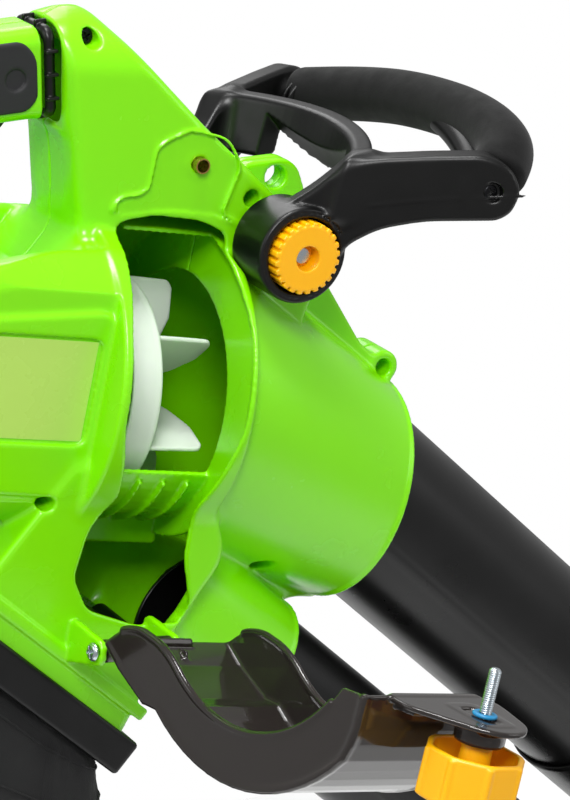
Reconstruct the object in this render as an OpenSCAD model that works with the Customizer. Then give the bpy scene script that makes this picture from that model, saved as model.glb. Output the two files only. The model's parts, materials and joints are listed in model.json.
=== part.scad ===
// Garden leaf blower and vacuum: a lime green two-part housing with a tilted motor and impeller,
// an access opening with a smoky cover that hangs open, a swivelling front handle, two black
// tubes and a debris bag. All sizes are in millimetres. The geometry is laid out about the
// middle of the impeller (X forward, Y to the left, Z up) and then moved so that the origin is
// the middle of the shoulder-strap eye.

/* [Attitude] */
// Downward tilt of the motor and impeller axis, in degrees
fan_pitch = 13; // [11:1:16]
// Downward tilt of the two tubes, in degrees
tube_pitch = 45; // [42:1:48]

/* [Impeller and fan case] */
// Diameter of the impeller disc
impeller_d = 118; // [98:1:142]
// Length of the impeller blades along the axis
blade_len = 34; // [26:1:36]
// Number of impeller blades
blade_count = 6; // [5:1:8]
// Radial gap between the impeller and the widest part of the fan case
case_gap = 24; // [20:1:32]
// Thickness of the moulded walls
wall = 2.8; // [2:0.1:3.5]
// Half width of the column that joins the handles
column_half = 42; // [36:1:48]
// Half width of the column at its rear edge
column_tail = 29; // [25:1:34]

/* [Inlet and tubes] */
// Outer diameter of the suction tube
suction_d = 100; // [83:1:120]
// Outer diameter of the blow tube
blow_d = 68; // [56:1:76]
// Wall of both tubes
tube_wall = 2; // [1.5:0.1:3]
// Length of the suction tube in sight, both halves together
suction_len = 640; // [500:10:780]
// Length of the blow tube in sight, both halves together
blow_len = 560; // [440:10:680]
// Gap all round between the suction tube and the inlet rim
rim_gap = 10; // [6:1:14]

/* [Rear handle] */
// Height of the grip
grip_h = 47; // [40:1:56]
// Width of the grip
grip_w = 38; // [34:1:44]
// Clear length of the hand hole
hand_len = 112; // [94:1:134]
// Finger room under the grip
hand_room = 48; // [40:1:56]

/* [Front handle] */
// Radius of the pivot hub
hub_r = 24; // [20:0.5:25]
// Thickness of the pivot hub
hub_t = 22; // [18:1:26]
// Distance from the pivot to the screws at the end of the arms
arm_len = 97; // [82:1:116]
// Distance between the arms at the foam grip
grip_span = 204; // [170:1:244]
// Diameter of the foam grip
foam_d = 30; // [26:1:34]
// Diameter of the bar inside the foam grip
bar_d = 16; // [14:1:20]
// Diameter of the pivot bolt
pivot_d = 8; // [6:0.5:10]
// Diameter of the yellow clamping knob
knob_d = 37; // [32:1:42]

/* [Access cover] */
// How far the cover hangs open, in degrees
cover_open = 88; // [0:1:95]
// How far the cover bulges out from the fan case
cover_bulge = 24; // [18:1:28]
// Thickness of the cover
cover_t = 2.4; // [1.8:0.1:3]
// Diameter of the cover bolt
cover_bolt_d = 6; // [5:1:8]
// Width across the cover knob
cover_knob_w = 50; // [42:1:60]
// Diameter of the hinge screw
hinge_d = 5; // [4:0.5:6]

/* [Bag] */
// Length of the bag mouth
bag_l = 130; // [110:1:150]
// Depth of the bag below its collar
bag_drop = 300; // [250:10:360]

/* [Strap eye] */
// Bore of the strap eye
eye_d = 12; // [10:1:16]
// Thickness of the strap lug
eye_t = 9; // [8:1:14]

/* [Hidden] */
$fn = 72;
e = 0.02;
run = 0.05;                       // radial clearance of a running fit
gap = 0.4;                        // gap between pieces that move past each other
impeller_r = impeller_d / 2;
disc_t = 3;
skirt_len = 12;
case_r = impeller_r + case_gap + wall;
case_y = -5;
case_n = 8;
case_front = blade_len + 3;
case_rear = -skirt_len - 29;
bulkhead_s = -skirt_len - 10;
eye_r_in = impeller_r + 4;
shaft_r = 5;
tongue_r = impeller_r + 6;
rim_x = 142;
rim_z = -83;
rim_pitch = 24;
suction_r = suction_d / 2;
blow_r = blow_d / 2;
rim_r = suction_r + rim_gap + wall;
suction_w = 42.4;                 // suction axis above the impeller centre, across the tubes
blow_w = -68;                     // blow axis below the impeller centre, across the tubes
blow_y = -20;
socket_r = blow_r + gap + wall + 1;
socket_end = 166;
suction_start = 118;
blow_start = 112;
duct_w = -142;                    // plane of the bag mouth
duct_y0 = -70;
duct_y1 = 14;
bag_t0 = 102 - bag_l;
pivot_x = 76;
pivot_z = 79;
eye_x = 97;
eye_z = 101;
eye_lug_r = eye_d / 2 + 5;
grip_top = 200;
grip_bot = grip_top - grip_h;
grip_x0 = -20;
column_rear = -30;
hole_x0 = column_rear;
hole_x1 = hole_x0 - 6 - hand_len;
casing_half = 66;
casing_rear = -165;
motor_r = 36;
cover_r = case_r + cover_bulge;
cover_s0 = case_rear - 0.5;
cover_s1 = case_front + 0.5;
hinge_s = -8;
hinge_y = -95;
hinge_n = -112;
hinge_yaw = 5;
hinge_lift = 2;
hinge_len = 40;
bolt_s = 7;
bolt_n = 129;
insert_y1 = -column_half + 12;
bolt_tip_y = -column_half + 22;       // tip of the cover bolt when the cover is shut
screw_r = 2;
head_r = 4;
hole_r = 5;
screw_xz = [[-20, 194], [64, 103], [-37, 62], [-69, -29], [76, -110], [-150, 20], [-186, 160], [-100, -80]];
knob_y0 = column_half + gap + hub_t + gap;
collar_x = -41.4;

// Moves the impeller centre to its place behind the strap eye
module place() {
    translate([-eye_x, 0, -eye_z]) children();
}

// Local X along the motor axis, forward and down
module at_fan() {
    rotate([0, fan_pitch, 0]) children();
}

// Local X along the tubes, forward and down
module at_tube() {
    rotate([0, tube_pitch, 0]) children();
}

// Round bar along X from x0 to x1
module bar_x(r, x0, x1, y = 0, z = 0, r2 = -1) {
    translate([x0, y, z]) rotate([0, 90, 0]) cylinder(r1 = r, r2 = r2 < 0 ? r : r2, h = x1 - x0);
}

// Round bar along Y from y0 to y1
module bar_y(r, y0, y1, x = 0, z = 0) {
    translate([x, y1, z]) rotate([90, 0, 0]) cylinder(r = r, h = y1 - y0);
}

// Side outline in X and Z, given a thickness from y0 to y1
module side_plate(points, y0, y1) {
    translate([0, y1, 0]) rotate([90, 0, 0]) linear_extrude(y1 - y0) polygon(points);
}

// Ring around the motor axis
module ring_x(r_out, r_in, x0, x1) {
    difference() {
        bar_x(r_out, x0, x1);
        bar_x(r_in, x0 - 1, x1 + 1);
    }
}

// ---------------------------------------------------------------- housing

// Column between the handles, narrower at the rear and under its roof, inset by g
module column(g) {
    intersection() {
        column_side(g);
        translate([0, 0, -50]) linear_extrude(300) polygon([[column_rear - 10, -column_tail + g],
            [60, -column_half + g], [150, -column_half + g], [150, column_half - g], [60, column_half - g],
            [column_rear - 10, column_tail - g]]);
        cross_plate([[-column_half - 1, 0], [-column_half - 1, 178], [-8, 205 - g], [8, 205 - g],
            [column_half + 1, 178], [column_half + 1, 0]], -100, 200);
    }
}

module column_side(g) {
    side_plate([[column_rear + 2 + g, 60], [column_rear + g, 150], [column_rear - 3 + g, 196 - g],
        [column_rear + 4 + g / 2, 205 - g], [-12 - g / 2, 204 - g], [24 - g * 0.7, 162 - g * 0.7], [62 - g * 0.7, 121 - g * 0.7],
        [95 - g * 0.7, 86 - g * 0.7], [110 - g, 62 - g * 0.7], [90, 20], [-30, 20]],
        -column_half + g, column_half - g);
}

// Motor casing behind the fan case, inset by g
module motor_casing(g) {
    at_fan() intersection() {
        side_plate([[casing_rear + g, -45 + g], [casing_rear + 15 + g / 2, -60 + g], [-20, -60 + g],
            [-20, 83 - g], [-66, 82 - g], [casing_rear + 15 + g / 2, 63 - g], [casing_rear + g, 48 - g]],
            -casing_half + g, casing_half - g);
        bar_x(84 - g, casing_rear - 1, 0, 0, 10);
    }
}

// Outlet duct down to the bag mouth, inset by g; open at the bottom when g is not 0
module outlet_duct(g) {
    drop = g > 0 ? 20 : 0;
    intersection() {
        side_plate([[-150, -70], [-60, -12], [20, -12], [34, -80], [6 - g, -112], [-24 - g, -160],
            [-70, -230], [-180, -140]], duct_y0 + g, duct_y1 - g);
        at_tube() translate([bag_t0 + g, duct_y0 - 1, duct_w - drop])
            cube([bag_l - 2 * g, duct_y1 - duct_y0 + 2, 300]);
    }
}

// Inlet duct from the fan case to the rim, inset by g; open at the rim when g is not 0
module inlet_duct(g) {
    hull() {
        at_fan() bar_x(case_r - 3 - g, case_front - 8 - g, case_front - 7 + (g > 0 ? 0 : g), case_y, case_n);
        translate([rim_x, 0, rim_z]) rotate([0, rim_pitch, 0]) bar_x(rim_r - g, -1, g > 0 ? 2 : 0);
    }
}

// Fan case, inset by g
module fan_case(g) {
    at_fan() bar_x(case_r - g, case_rear + g, case_front - g, case_y, case_n);
}

// Socket of the blow tube, inset by g
module blow_socket(g) {
    at_tube() bar_x(socket_r - g, 50 + g, socket_end + (g > 0 ? 2 : 0), blow_y, blow_w);
}

// Rear grip and its post, inset by g
module rear_handle(g) {
    difference() {
        side_plate([[grip_x0, 90], [grip_x0, grip_top - g], [hole_x1 - 22, grip_top - g],
            [hole_x1 - 44 + g, grip_top - 12 - g], [hole_x1 - 50 + g, grip_bot + 8],
            [hole_x1 - 40 + g, 100], [hole_x1 - 16 + g, 60 + g], [-60, 60]],
            -grip_w / 2 + g, grip_w / 2 - g);
        side_plate([[hole_x0 + g, grip_bot + g], [hole_x1 - g, grip_bot + g], [hole_x1 - 8 - g, grip_bot - 8],
            [hole_x1 - 8 - g, grip_bot - 36], [hole_x1, grip_bot - hand_room],
            [-60, grip_bot - hand_room - 40], [hole_x0 + g, grip_bot - 36]],
            -grip_w, grip_w);
    }
}

// Everything the two shells enclose, inset by g
module shell_volume(g) {
    fan_case(g);
    column(g);
    motor_casing(g);
    outlet_duct(g);
    inlet_duct(g);
    blow_socket(g);
    rear_handle(g);
}

// Access opening in the right side of the fan case
module window() {
    at_fan() side_plate([[-30, 91], [case_rear + 5, 50], [case_rear + 5, 4], [-25, -38], [-34, -60], [-37, -84],
        [-26, -101], [4, -109], [31, -107], [34, -98], [25, -72], [24, -42], [case_front - 4, 4],
        [case_front - 3, 50], [29, 92], [14, 96], [-12, 96]],
        -150, -28);
}

// Walls inside the housing: motor bulkhead, front wall with the air eye, bearing wall
module bulkheads() {
    intersection() {
        union() {
            at_fan() difference() {
                bar_x(case_r - 1, bulkhead_s, bulkhead_s + 3, case_y, case_n);
                bar_x(11.02, bulkhead_s - 1, bulkhead_s + 4);
            }
            at_fan() difference() {
                bar_x(case_r - 1, case_front - 3, case_front, case_y, case_n);
                bar_x(eye_r_in, case_front - 4, case_front + 1);
            }
            at_fan() difference() {
                bar_x(casing_half + 8, -136, -132);
                bar_x(9.02, -137, -131);
            }
        }
        shell_volume(wall / 2);
    }
}

// Cut-off wall between the scroll and the outlet, with its three ribs
module tongue() {
    at_fan() rotate([0, 90, 0]) rotate([0, 0, 5]) {
        rotate_extrude(angle = 132, start = -70) translate([tongue_r, bulkhead_s + 2])
            square([wall, case_front - bulkhead_s - 3]);
        for (s = [-6, 8, 22]) rotate_extrude(angle = 100, start = -68)
            translate([tongue_r + wall - 0.5, s]) square([3, 2]);
    }
}

// Wall of the scroll inside the housing, open to the outlet at the lower right
module scroll_wall() {
    at_fan() difference() {
        bar_x(case_r, bulkhead_s, case_front, case_y, case_n);
        bar_x(case_r - wall, bulkhead_s - 1, case_front + 1, case_y, case_n);
        translate([-50, -120, -120]) cube([100, 106, 92]);
        translate([bulkhead_s - 1, -140, -110]) cube([case_front - bulkhead_s - 3.4, 115.2, 208]);
    }
    at_fan() translate([bulkhead_s, -14 - wall, -80]) cube([case_front - bulkhead_s, wall, 18]);
}

// Boss for one housing screw
module boss(x, z, r, half) {
    bar_y(r, -half, half, x, z);
}

module housing() {
    difference() {
        union() {
            difference() {
                shell_volume(0);
                shell_volume(wall);
            }
            bulkheads();
            intersection() {
                union() {
                    for (p = screw_xz) boss(p[0], p[1], 6.5, 90);
                    boss(pivot_x, pivot_z, 12, 60);
                    bar_y(8, -60, insert_y1, bolt_n * sin(fan_pitch) + bolt_s * cos(fan_pitch),
                        bolt_n * cos(fan_pitch) - bolt_s * sin(fan_pitch));
                }
                shell_volume(0.3);
            }
            // strap lug on the ridge
            side_plate([[eye_x - 22, eye_z - 26], [eye_x + 16, eye_z - 30], [eye_x + 2, eye_z], [eye_x - 8, eye_z]],
                -eye_t / 2, eye_t / 2);
            boss(eye_x, eye_z, eye_lug_r, eye_t / 2);
            // web between the inlet and the blow tube socket
            at_tube() difference() {
                side_plate([[140, -36], [socket_end, -33], [172, -26], [184, -14], [196, -4], [150, 10]], -4, 4);
                bar_x(suction_d / 2 + 1, 100, 260, 0, suction_w);
            }
            // screw boss on top of the rim
            boss(160, -14.5, 9, 13);
            // hinge lugs under the access opening
            hinge_lug(-hinge_len / 2 - 4.4);
            hinge_lug(hinge_len / 2 + 0.4);
        }
        intersection() {
            window();
            translate([-300, -200, -300]) cube([600, 200 - 24, 600]);
        }
        // screw wells from the right, shank holes through to the left
        for (p = screw_xz) {
            bar_y(hole_r, -120, -14, p[0], p[1]);
            bar_y(screw_r + 0.2, -15, 12, p[0], p[1]);
        }
        bar_y(eye_d / 2, -20, 20, eye_x, eye_z);
        bar_y(pivot_d / 2 + run, -80, 80, pivot_x, pivot_z);
        bar_y(hole_r, -30, -4, 160, -14.5);
        bar_y(4, -70, insert_y1, bolt_n * sin(fan_pitch) + bolt_s * cos(fan_pitch),
            bolt_n * cos(fan_pitch) - bolt_s * sin(fan_pitch));
        at_hinge() bar_x(hinge_d / 2 + run, -60, 60);
        // trigger slot under the grip, speed dial slot on top, cord gland at the rear
        translate([-86, -8, grip_bot - 5]) cube([36, 16, 10]);
        translate([-109, -6, grip_top - 6]) cube([28, 12, 10]);
        bar_x(8, hole_x1 - 70, hole_x1 - 30, 0, 128);
        // shaft of the selector flap
        bar_y(3 + run, -100, 40, flap_x, flap_z);
        // seat of the clean-cut handle collar
        collar_seat();
        // rooms that the hinge barrel and hubs need
        at_hinge() bar_x(7, -hinge_len / 2 - 0.4, hinge_len / 2 + 0.4);
        for (m = [0, 1]) mirror([0, m, 0]) bar_y(hub_r + 1, column_half + 0.3, 120, pivot_x, pivot_z);
        // cooling slots in the tail of the motor casing
        at_fan() for (i = [-3:3]) translate([casing_rear - 5, i * 12 - 2.5, -25]) cube([15, 5, 50]);
    }
}

flap_x = -14;
flap_z = -124;
flap_len = 48;

// Groove in which the black collar sits
module collar_seat() {
    difference() {
        translate([collar_x - 0.2, -30, grip_bot - 3]) cube([9, 60, grip_h + 20]);
        translate([collar_x - 1, -grip_w / 2 + 2, grip_bot + 2]) cube([11, grip_w - 4, grip_h - 4]);
    }
}

module half(side) {
    intersection() {
        union() {
            housing();
            difference() {
                intersection() {
                    union() {
                        tongue();
                        scroll_wall();
                    }
                    shell_volume(wall / 2);
                }
                bar_y(hub_r + 1, -120, -column_half - 0.3, pivot_x, pivot_z);
                bar_y(hub_r + 1, column_half + 0.3, 120, pivot_x, pivot_z);
            }
        }
        translate([-400, side < 0 ? -300 : 0, -400]) cube([800, 300, 800]);
    }
}

module right_housing() {
    color("#8ce600") place() half(-1);
}

module left_housing() {
    color("#8ce600") place() half(1);
}

module housing_screws() {
    color("#20201f") place() for (p = screw_xz) {
        bar_y(head_r, -17, -14, p[0], p[1]);
        bar_y(screw_r, -14, 11, p[0], p[1]);
    }
}

// Blank data plate on the right of the motor casing
module rating_plate() {
    color("#b6dd52") place() at_fan() translate([-105, -casing_half - 0.6, -12]) cube([58, 0.6, 52]);
}

// Brass insert that takes the cover bolt
module cover_nut_insert() {
    color("#c8a860") place() at_fan() difference() {
        bar_y(4, -column_half + 0.4, insert_y1, bolt_s, bolt_n);
        bar_y(cover_bolt_d / 2 + 0.3, -column_half, insert_y1 + 1, bolt_s, bolt_n);
    }
}

// ---------------------------------------------------------------- rotor and motor

module impeller() {
    color("#e8efe6") place() at_fan() difference() {
        union() {
            bar_x(impeller_r, -disc_t, 0);
            ring_x(impeller_r, impeller_r - 2, -skirt_len, -disc_t + e);
            bar_x(11, -skirt_len, 16);
            for (i = [0:blade_count - 1]) rotate([i * 360 / blade_count + 10, 0, 0])
                side_blade();
            for (i = [0:11]) rotate([i * 30, 0, 0])
                translate([-skirt_len, -0.9, 10]) cube([skirt_len - 1, 1.8, impeller_r - 11.5]);
        }
        bar_x(shaft_r + 0.02, -skirt_len - 1, 20);
    }
}

// One straight radial blade, cut back at its free corner
module side_blade() {
    translate([0, 1.2, 0]) rotate([90, 0, 0]) linear_extrude(2.4)
        polygon([[-1, 9], [14, 9], [blade_len - 8, 22], [blade_len - 1, impeller_r * 0.62],
            [blade_len - 1, impeller_r - 6], [blade_len - 4, impeller_r - 2], [-1, impeller_r - 1]]);
}

module impeller_nut() {
    color("silver") place() at_fan() difference() {
        union() {
            translate([16, 0, 0]) rotate([0, 90, 0]) cylinder(r = 9, h = 1.5);
            translate([17.5, 0, 0]) rotate([0, 90, 0]) cylinder(r = 7.5, h = 6, $fn = 6);
        }
        bar_x(3.02, 15, 25);
    }
}

module motor_shaft() {
    color("silver") place() at_fan() {
        bar_x(shaft_r, -146, 16);
        bar_x(3, 16, 26);
    }
}

// Deep-groove bearing as one ring
module bearing(s0, len, r_out) {
    ring_x(r_out, shaft_r + run, s0, s0 + len);
}

module front_bearing() {
    color("silver") place() at_fan() bearing(bulkhead_s - 6, 9, 11);
}

module rear_bearing() {
    color("silver") place() at_fan() bearing(-139, 7, 9);
}

module armature() {
    color("#6f6a66") place() at_fan() difference() {
        union() {
            bar_x(24, -84, -44);
            bar_x(21, -92, -84);
            bar_x(21, -44, -36);
        }
        bar_x(shaft_r, -95, -30);
        for (i = [0:11]) rotate([i * 30, 0, 0]) translate([-93, -1, 20]) cube([58, 2, 6]);
    }
}

module commutator() {
    color("#b87333") place() at_fan() ring_x(13, shaft_r, -120, -102);
}

module stator() {
    color("#8a8d90") place() at_fan() difference() {
        union() {
            bar_x(motor_r, -84, -44);
            for (m = [0, 1]) mirror([0, m, 0]) translate([-94, 27, -16]) cube([60, 9, 32]);
        }
        bar_x(25, -100, -30);
    }
}

module carbon_brushes() {
    color("#3a3a3c") place() at_fan() for (m = [0, 1]) mirror([0, m, 0])
        translate([-115, 13.1, -3.5]) cube([8, 16, 7]);
}

module brush_holders() {
    color("#c8a860") place() at_fan() for (m = [0, 1]) mirror([0, m, 0]) difference() {
        translate([-117, 15, -5.5]) cube([12, 22, 11]);
        translate([-115.1, 12, -3.6]) cube([8.2, 22, 7.2]);
    }
}

// ---------------------------------------------------------------- switchgear in the handle

module main_switch() {
    color("#2a2a2c") place() translate([-80, -7, grip_bot + 16]) cube([34, 14, 17]);
}

module control_board() {
    color("#2f6b3a") place() translate([-134, -11, grip_bot + 10]) cube([30, 1.6, 26]);
}

trigger_x = -54;
trigger_z = grip_bot + 9;

module trigger() {
    color("#1c1c1e") place() difference() {
        union() {
            side_plate([[-56, trigger_z + 3], [-52, trigger_z - 3], [-58, grip_bot - 3], [-66, grip_bot - 10],
                [-76, grip_bot - 8], [-83, grip_bot + 1], [-84, trigger_z]], -7, 7);
            bar_y(4, -7, 7, trigger_x, trigger_z);
        }
        bar_y(2 + run, -10, 10, trigger_x, trigger_z);
    }
}

module trigger_pin() {
    color("silver") place() bar_y(2, -grip_w / 2 + wall, grip_w / 2 - wall, trigger_x, trigger_z);
}

module trigger_spring() {
    color("silver") place() translate([-78, 0, trigger_z + 1.2]) difference() {
        cylinder(r = 3, h = 5.6);
        translate([0, 0, -1]) cylinder(r = 2.2, h = 9);
    }
}

dial_r = 13;
dial_z = grip_top - 8;

module speed_dial() {
    color("#f5b800") place() difference() {
        union() {
            bar_y(dial_r, -4.5, 4.5, -95, dial_z);
            bar_y(3, -8, 8, -95, dial_z);
        }
        for (i = [0:17]) translate([-95, 0, dial_z]) rotate([0, i * 20, 0])
            translate([dial_r - 0.7, -6, -0.9]) cube([3, 12, 1.8]);
    }
}

module cable_gland() {
    color("#1c1c1e") place() difference() {
        union() {
            bar_x(7.8, hole_x1 - 58, hole_x1 - 38, 0, 128);
            bar_x(11, hole_x1 - 62, hole_x1 - 49.6, 0, 128);
            bar_x(5.5, hole_x1 - 92, hole_x1 - 62, 0, 128, 8);
        }
        bar_x(3.8, hole_x1 - 95, hole_x1 - 35, 0, 128);
    }
}

// Soft black panels let into both sides of the grip
module grip_inserts() {
    color("#2b2b2d") place() for (m = [0, 1]) mirror([0, m, 0])
        difference() {
            side_plate([[-49, grip_top - 8], [-45, grip_top - 14], [-45, grip_bot + 12], [-51, grip_bot + 7],
                [hole_x1 - 6, grip_bot + 7], [hole_x1 - 18, grip_bot + 16], [hole_x1 - 18, grip_top - 14],
                [hole_x1 - 10, grip_top - 8]], grip_w / 2, grip_w / 2 + 1.2);
            bar_y(5.4, 0, 40, -57, 176);
        }
}

// Ribbed black band between the grip and the column
module handle_collar() {
    color("#202022") place() difference() {
        translate([collar_x, -grip_w / 2 - 2, grip_bot - 2]) cube([8.6, grip_w + 4, grip_h + 4]);
        translate([collar_x - 1, -grip_w / 2 + 2, grip_bot + 2]) cube([11, grip_w - 4, grip_h - 4]);
        for (z = [grip_bot + 4, grip_bot + 17.5, grip_bot + 31]) for (m = [0, 1]) mirror([0, m, 0])
            translate([collar_x + 2.2, grip_w / 2 + 0.6, z]) cube([3.4, 4, 11.5]);
    }
}

// ---------------------------------------------------------------- front handle

arm_lift = 17;
splay = atan((grip_span / 2 - 62) / arm_len);
arm_end_x = pivot_x + arm_len * cos(arm_lift);
arm_end_z = pivot_z + arm_len * sin(arm_lift);
bow = 28;
bow_half = grip_span / 2 - 8;
bow_r = (bow_half * bow_half + bow * bow) / (2 * bow);
bow_angle = asin(bow_half / bow_r);
bow_tilt = 42;

// One arm, with its hub on the pivot and a rounded end at the grip
module arm() {
    difference() {
        union() {
            bar_y(hub_r, column_half + gap, column_half + gap + hub_t, pivot_x, pivot_z);
            translate([pivot_x, 62, pivot_z]) rotate([0, 0, splay]) {
                side_plate([[4, -16], [24, 2], [44, 13], [arm_len, 10], [arm_len + 22, 14], [arm_len + 30, 24],
                    [arm_len + 26, 36], [arm_len + 14, 42], [60, 44], [40, 42], [18, 30], [-2, 14]],
                    -7, 7);
            }
        }
        bar_y(pivot_d / 2 + run, 0, 120, pivot_x, pivot_z);
        bar_y(200, 0, column_half + gap, pivot_x, pivot_z);
        // flat seat of the knob and the nut
        bar_y(knob_d / 2 + 1.5, column_half + gap + hub_t, 120, pivot_x, pivot_z);
    }
}

module front_handle() {
    color("#18181a") place() difference() {
        union() {
            for (m = [0, 1]) mirror([0, m, 0]) arm();
            // arched brace between the arms
            translate([pivot_x, 0, pivot_z]) rotate([0, -arm_lift, 0]) intersection() {
                translate([-6, 0, 4]) difference() {
                    cylinder(r = 84, h = 26);
                    translate([0, 0, -1]) cylinder(r = 74, h = 28);
                }
                translate([36, -74, -1]) cube([60, 148, 40]);
            }
        }
        // screw wells in the ends of the arms
        for (m = [0, 1]) mirror([0, m, 0]) bar_y(hole_r, grip_span / 2 + 1, grip_span, arm_end_x, arm_end_z);
        for (m = [0, 1]) mirror([0, m, 0])
            bar_y(screw_r + 0.2, grip_span / 2 - 30, grip_span, arm_end_x, arm_end_z);
        // ends of the grip seat in the arms
        bow_bar(bar_d / 2, 4);
        bow_bar(foam_d / 2 + gap, -1.5);
    }
}

// Bowed round bar between the arms; extra lengthens both ends, in degrees
module bow_bar(r, extra = 0) {
    a = bow_angle + extra;
    translate([arm_end_x, 0, arm_end_z]) rotate([0, -bow_tilt, 0]) translate([bow - bow_r, 0, 0])
        rotate_extrude(angle = 2 * a, start = -a) translate([bow_r, 0]) circle(r = r);
}

module foam_grip() {
    color("#2e2e30") place() difference() {
        bow_bar(foam_d / 2, -3);
        bow_bar(bar_d / 2 + e, -1);
    }
}

module grip_bar() {
    color("#18181a") place() difference() {
        bow_bar(bar_d / 2, 0);
        for (m = [0, 1]) mirror([0, m, 0])
            bar_y(screw_r, grip_span / 2 - 30, grip_span, arm_end_x, arm_end_z);
    }
}

module grip_screws() {
    color("#20201f") place() for (m = [0, 1]) mirror([0, m, 0]) {
        bar_y(head_r, grip_span / 2 + 1, grip_span / 2 + 3.6, arm_end_x, arm_end_z);
        bar_y(screw_r, grip_span / 2 - 20, grip_span / 2 + 1, arm_end_x, arm_end_z);
    }
}

module pivot_bolt() {
    color("silver") place() bar_y(pivot_d / 2, -knob_y0 - 8, knob_y0 + 9, pivot_x, pivot_z);
}

module pivot_nut() {
    color("#202022") place() difference() {
        bar_y(11, knob_y0, knob_y0 + 7, pivot_x, pivot_z);
        bar_y(pivot_d / 2, 0, 120, pivot_x, pivot_z);
    }
}

module handle_knob() {
    color("#ffb400") place() difference() {
        bar_y(knob_d / 2, -knob_y0 - 14, -knob_y0, pivot_x, pivot_z);
        for (i = [0:23]) translate([pivot_x, 0, pivot_z]) rotate([0, i * 15, 0])
            translate([knob_d / 2 - 1.2, -knob_y0 - 15, -0.9]) cube([3, 12, 1.8]);
        bar_y(pivot_d / 2 + run, -knob_y0 - 30, 0, pivot_x, pivot_z);
        bar_y(5.5, -knob_y0 - 30, -knob_y0 - 8.4, pivot_x, pivot_z);
    }
}

// ---------------------------------------------------------------- tubes

module tube(r, r_in, x0, x1, y, w) {
    at_tube() difference() {
        bar_x(r, x0, x1, y, w);
        bar_x(r_in, x0 - 1, x1 + 1, y, w);
    }
}

// Tapered socket and swage where two tube halves join
module tube_joint(r, x, y, w) {
    at_tube() difference() {
        bar_x(r + tube_wall + 0.5, x - 45, x, y, w);
        bar_x(r + 0.05, x - 46, x + 1, y, w);
    }
}

module upper_suction_tube() {
    color("#1b1b1d") place() tube(suction_r, suction_r - tube_wall, suction_start, suction_start + suction_len / 2,
        0, suction_w);
}

module lower_suction_tube() {
    color("#1b1b1d") place() {
        tube_joint(suction_r, suction_start + suction_len / 2, 0, suction_w);
        at_tube() difference() {
            x0 = suction_start + suction_len / 2;
            bar_x(suction_r + tube_wall + 0.5, x0, x0 + suction_len / 2, 0, suction_w);
            bar_x(suction_r - tube_wall, x0 - 1, x0 + suction_len, 0, suction_w);
            // slanted mouth
            translate([x0 + suction_len / 2, 0, suction_w + suction_r + 4]) rotate([0, 35, 0])
                translate([0, -100, -300]) cube([200, 200, 400]);
        }
    }
}

module upper_blow_tube() {
    color("#1b1b1d") place() tube(blow_r, blow_r - tube_wall, blow_start, blow_start + blow_len / 2, blow_y, blow_w);
}

module lower_blow_tube() {
    color("#1b1b1d") place() {
        tube_joint(blow_r, blow_start + blow_len / 2, blow_y, blow_w);
        x0 = blow_start + blow_len / 2;
        tube(blow_r + tube_wall + 0.5, blow_r - tube_wall, x0, x0 + blow_len / 2, blow_y, blow_w);
    }
}

module tube_screws() {
    color("silver") place() at_tube() {
        translate([suction_start + suction_len / 2 - 20, 0, suction_w]) rotate([90, 0, 0])
            translate([0, 0, suction_r + tube_wall + 0.5]) cylinder(r = 4, h = 2.4);
        translate([blow_start + blow_len / 2 - 20, blow_y, blow_w]) rotate([90, 0, 0])
            translate([0, 0, blow_r + tube_wall + 0.5]) cylinder(r = 4, h = 2.4);
    }
}

// ---------------------------------------------------------------- access cover

// Local X along the cover hinge
module at_hinge() {
    at_fan() translate([hinge_s, hinge_y, hinge_n]) rotate([0, -hinge_lift, hinge_yaw]) children();
}

// Green lug that carries the hinge screw
module hinge_lug(x0) {
    at_hinge() {
        bar_x(6.5, x0, x0 + 4);
        translate([x0, 0, -6.5]) cube([4, 27.5, 13]);
        translate([x0, 0, 0]) rotate([90, 0, 90]) linear_extrude(4)
            polygon([[0, -6.5], [27.5, -16], [27.5, 8], [0, 6.5]]);
    }
}

// Turns the closed cover about its hinge to where it hangs
module hang_open() {
    at_hinge() rotate([cover_open, 0, 0]) rotate([0, 0, -hinge_yaw]) rotate([0, hinge_lift, 0])
        translate([-hinge_s, -hinge_y, -hinge_n]) children();
}

// Points of the outside of the closed cover in Y and N, t inside the surface
function cover_arc(t) = concat([[-44, 101 - t], [-60, 100.5 - t], [-69, 98.5 - t]], [for (a = [51:-7.2:-30]) [case_y - 3 - (cover_r - t) * cos(a), case_n + 2 + (cover_r - t) * sin(a)]]);
cover_low = [[-104, -56], [-95, -80], [-88, -92]];

// Plate in Y and N, given a thickness from s0 to s1
module cross_plate(points, s0, s1) {
    translate([s0, 0, 0]) rotate([90, 0, 90]) linear_extrude(s1 - s0) polygon(points);
}

module cover_skin() {
    low_in = [[-88 + cover_t, -92], [-95 + cover_t, -79], [-104 + cover_t, -55]];
    arc_in = cover_arc(cover_t);
    n = len(arc_in);
    cross_plate(concat(cover_arc(0), cover_low, low_in, [for (i = [1:n]) arc_in[n - i]]), cover_s0, cover_s1);
}

// Wall at one side of the cover, from the skin in to the edge of the access opening
module cover_wall(s0) {
    rim = [[-83, -90], [duct_y0 - 4, -82], [duct_y0 - gap - 0.3, -70], [duct_y0 - 2, -52]];
    drum = [for (a = [-34:8:62]) [case_y - (case_r + gap) * cos(a), case_n + (case_r + gap) * sin(a)]];
    cross_plate(concat(cover_arc(0), cover_low, rim, drum), s0, s0 + cover_t);
}

tab_y = -column_half - 1.5;

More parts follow.
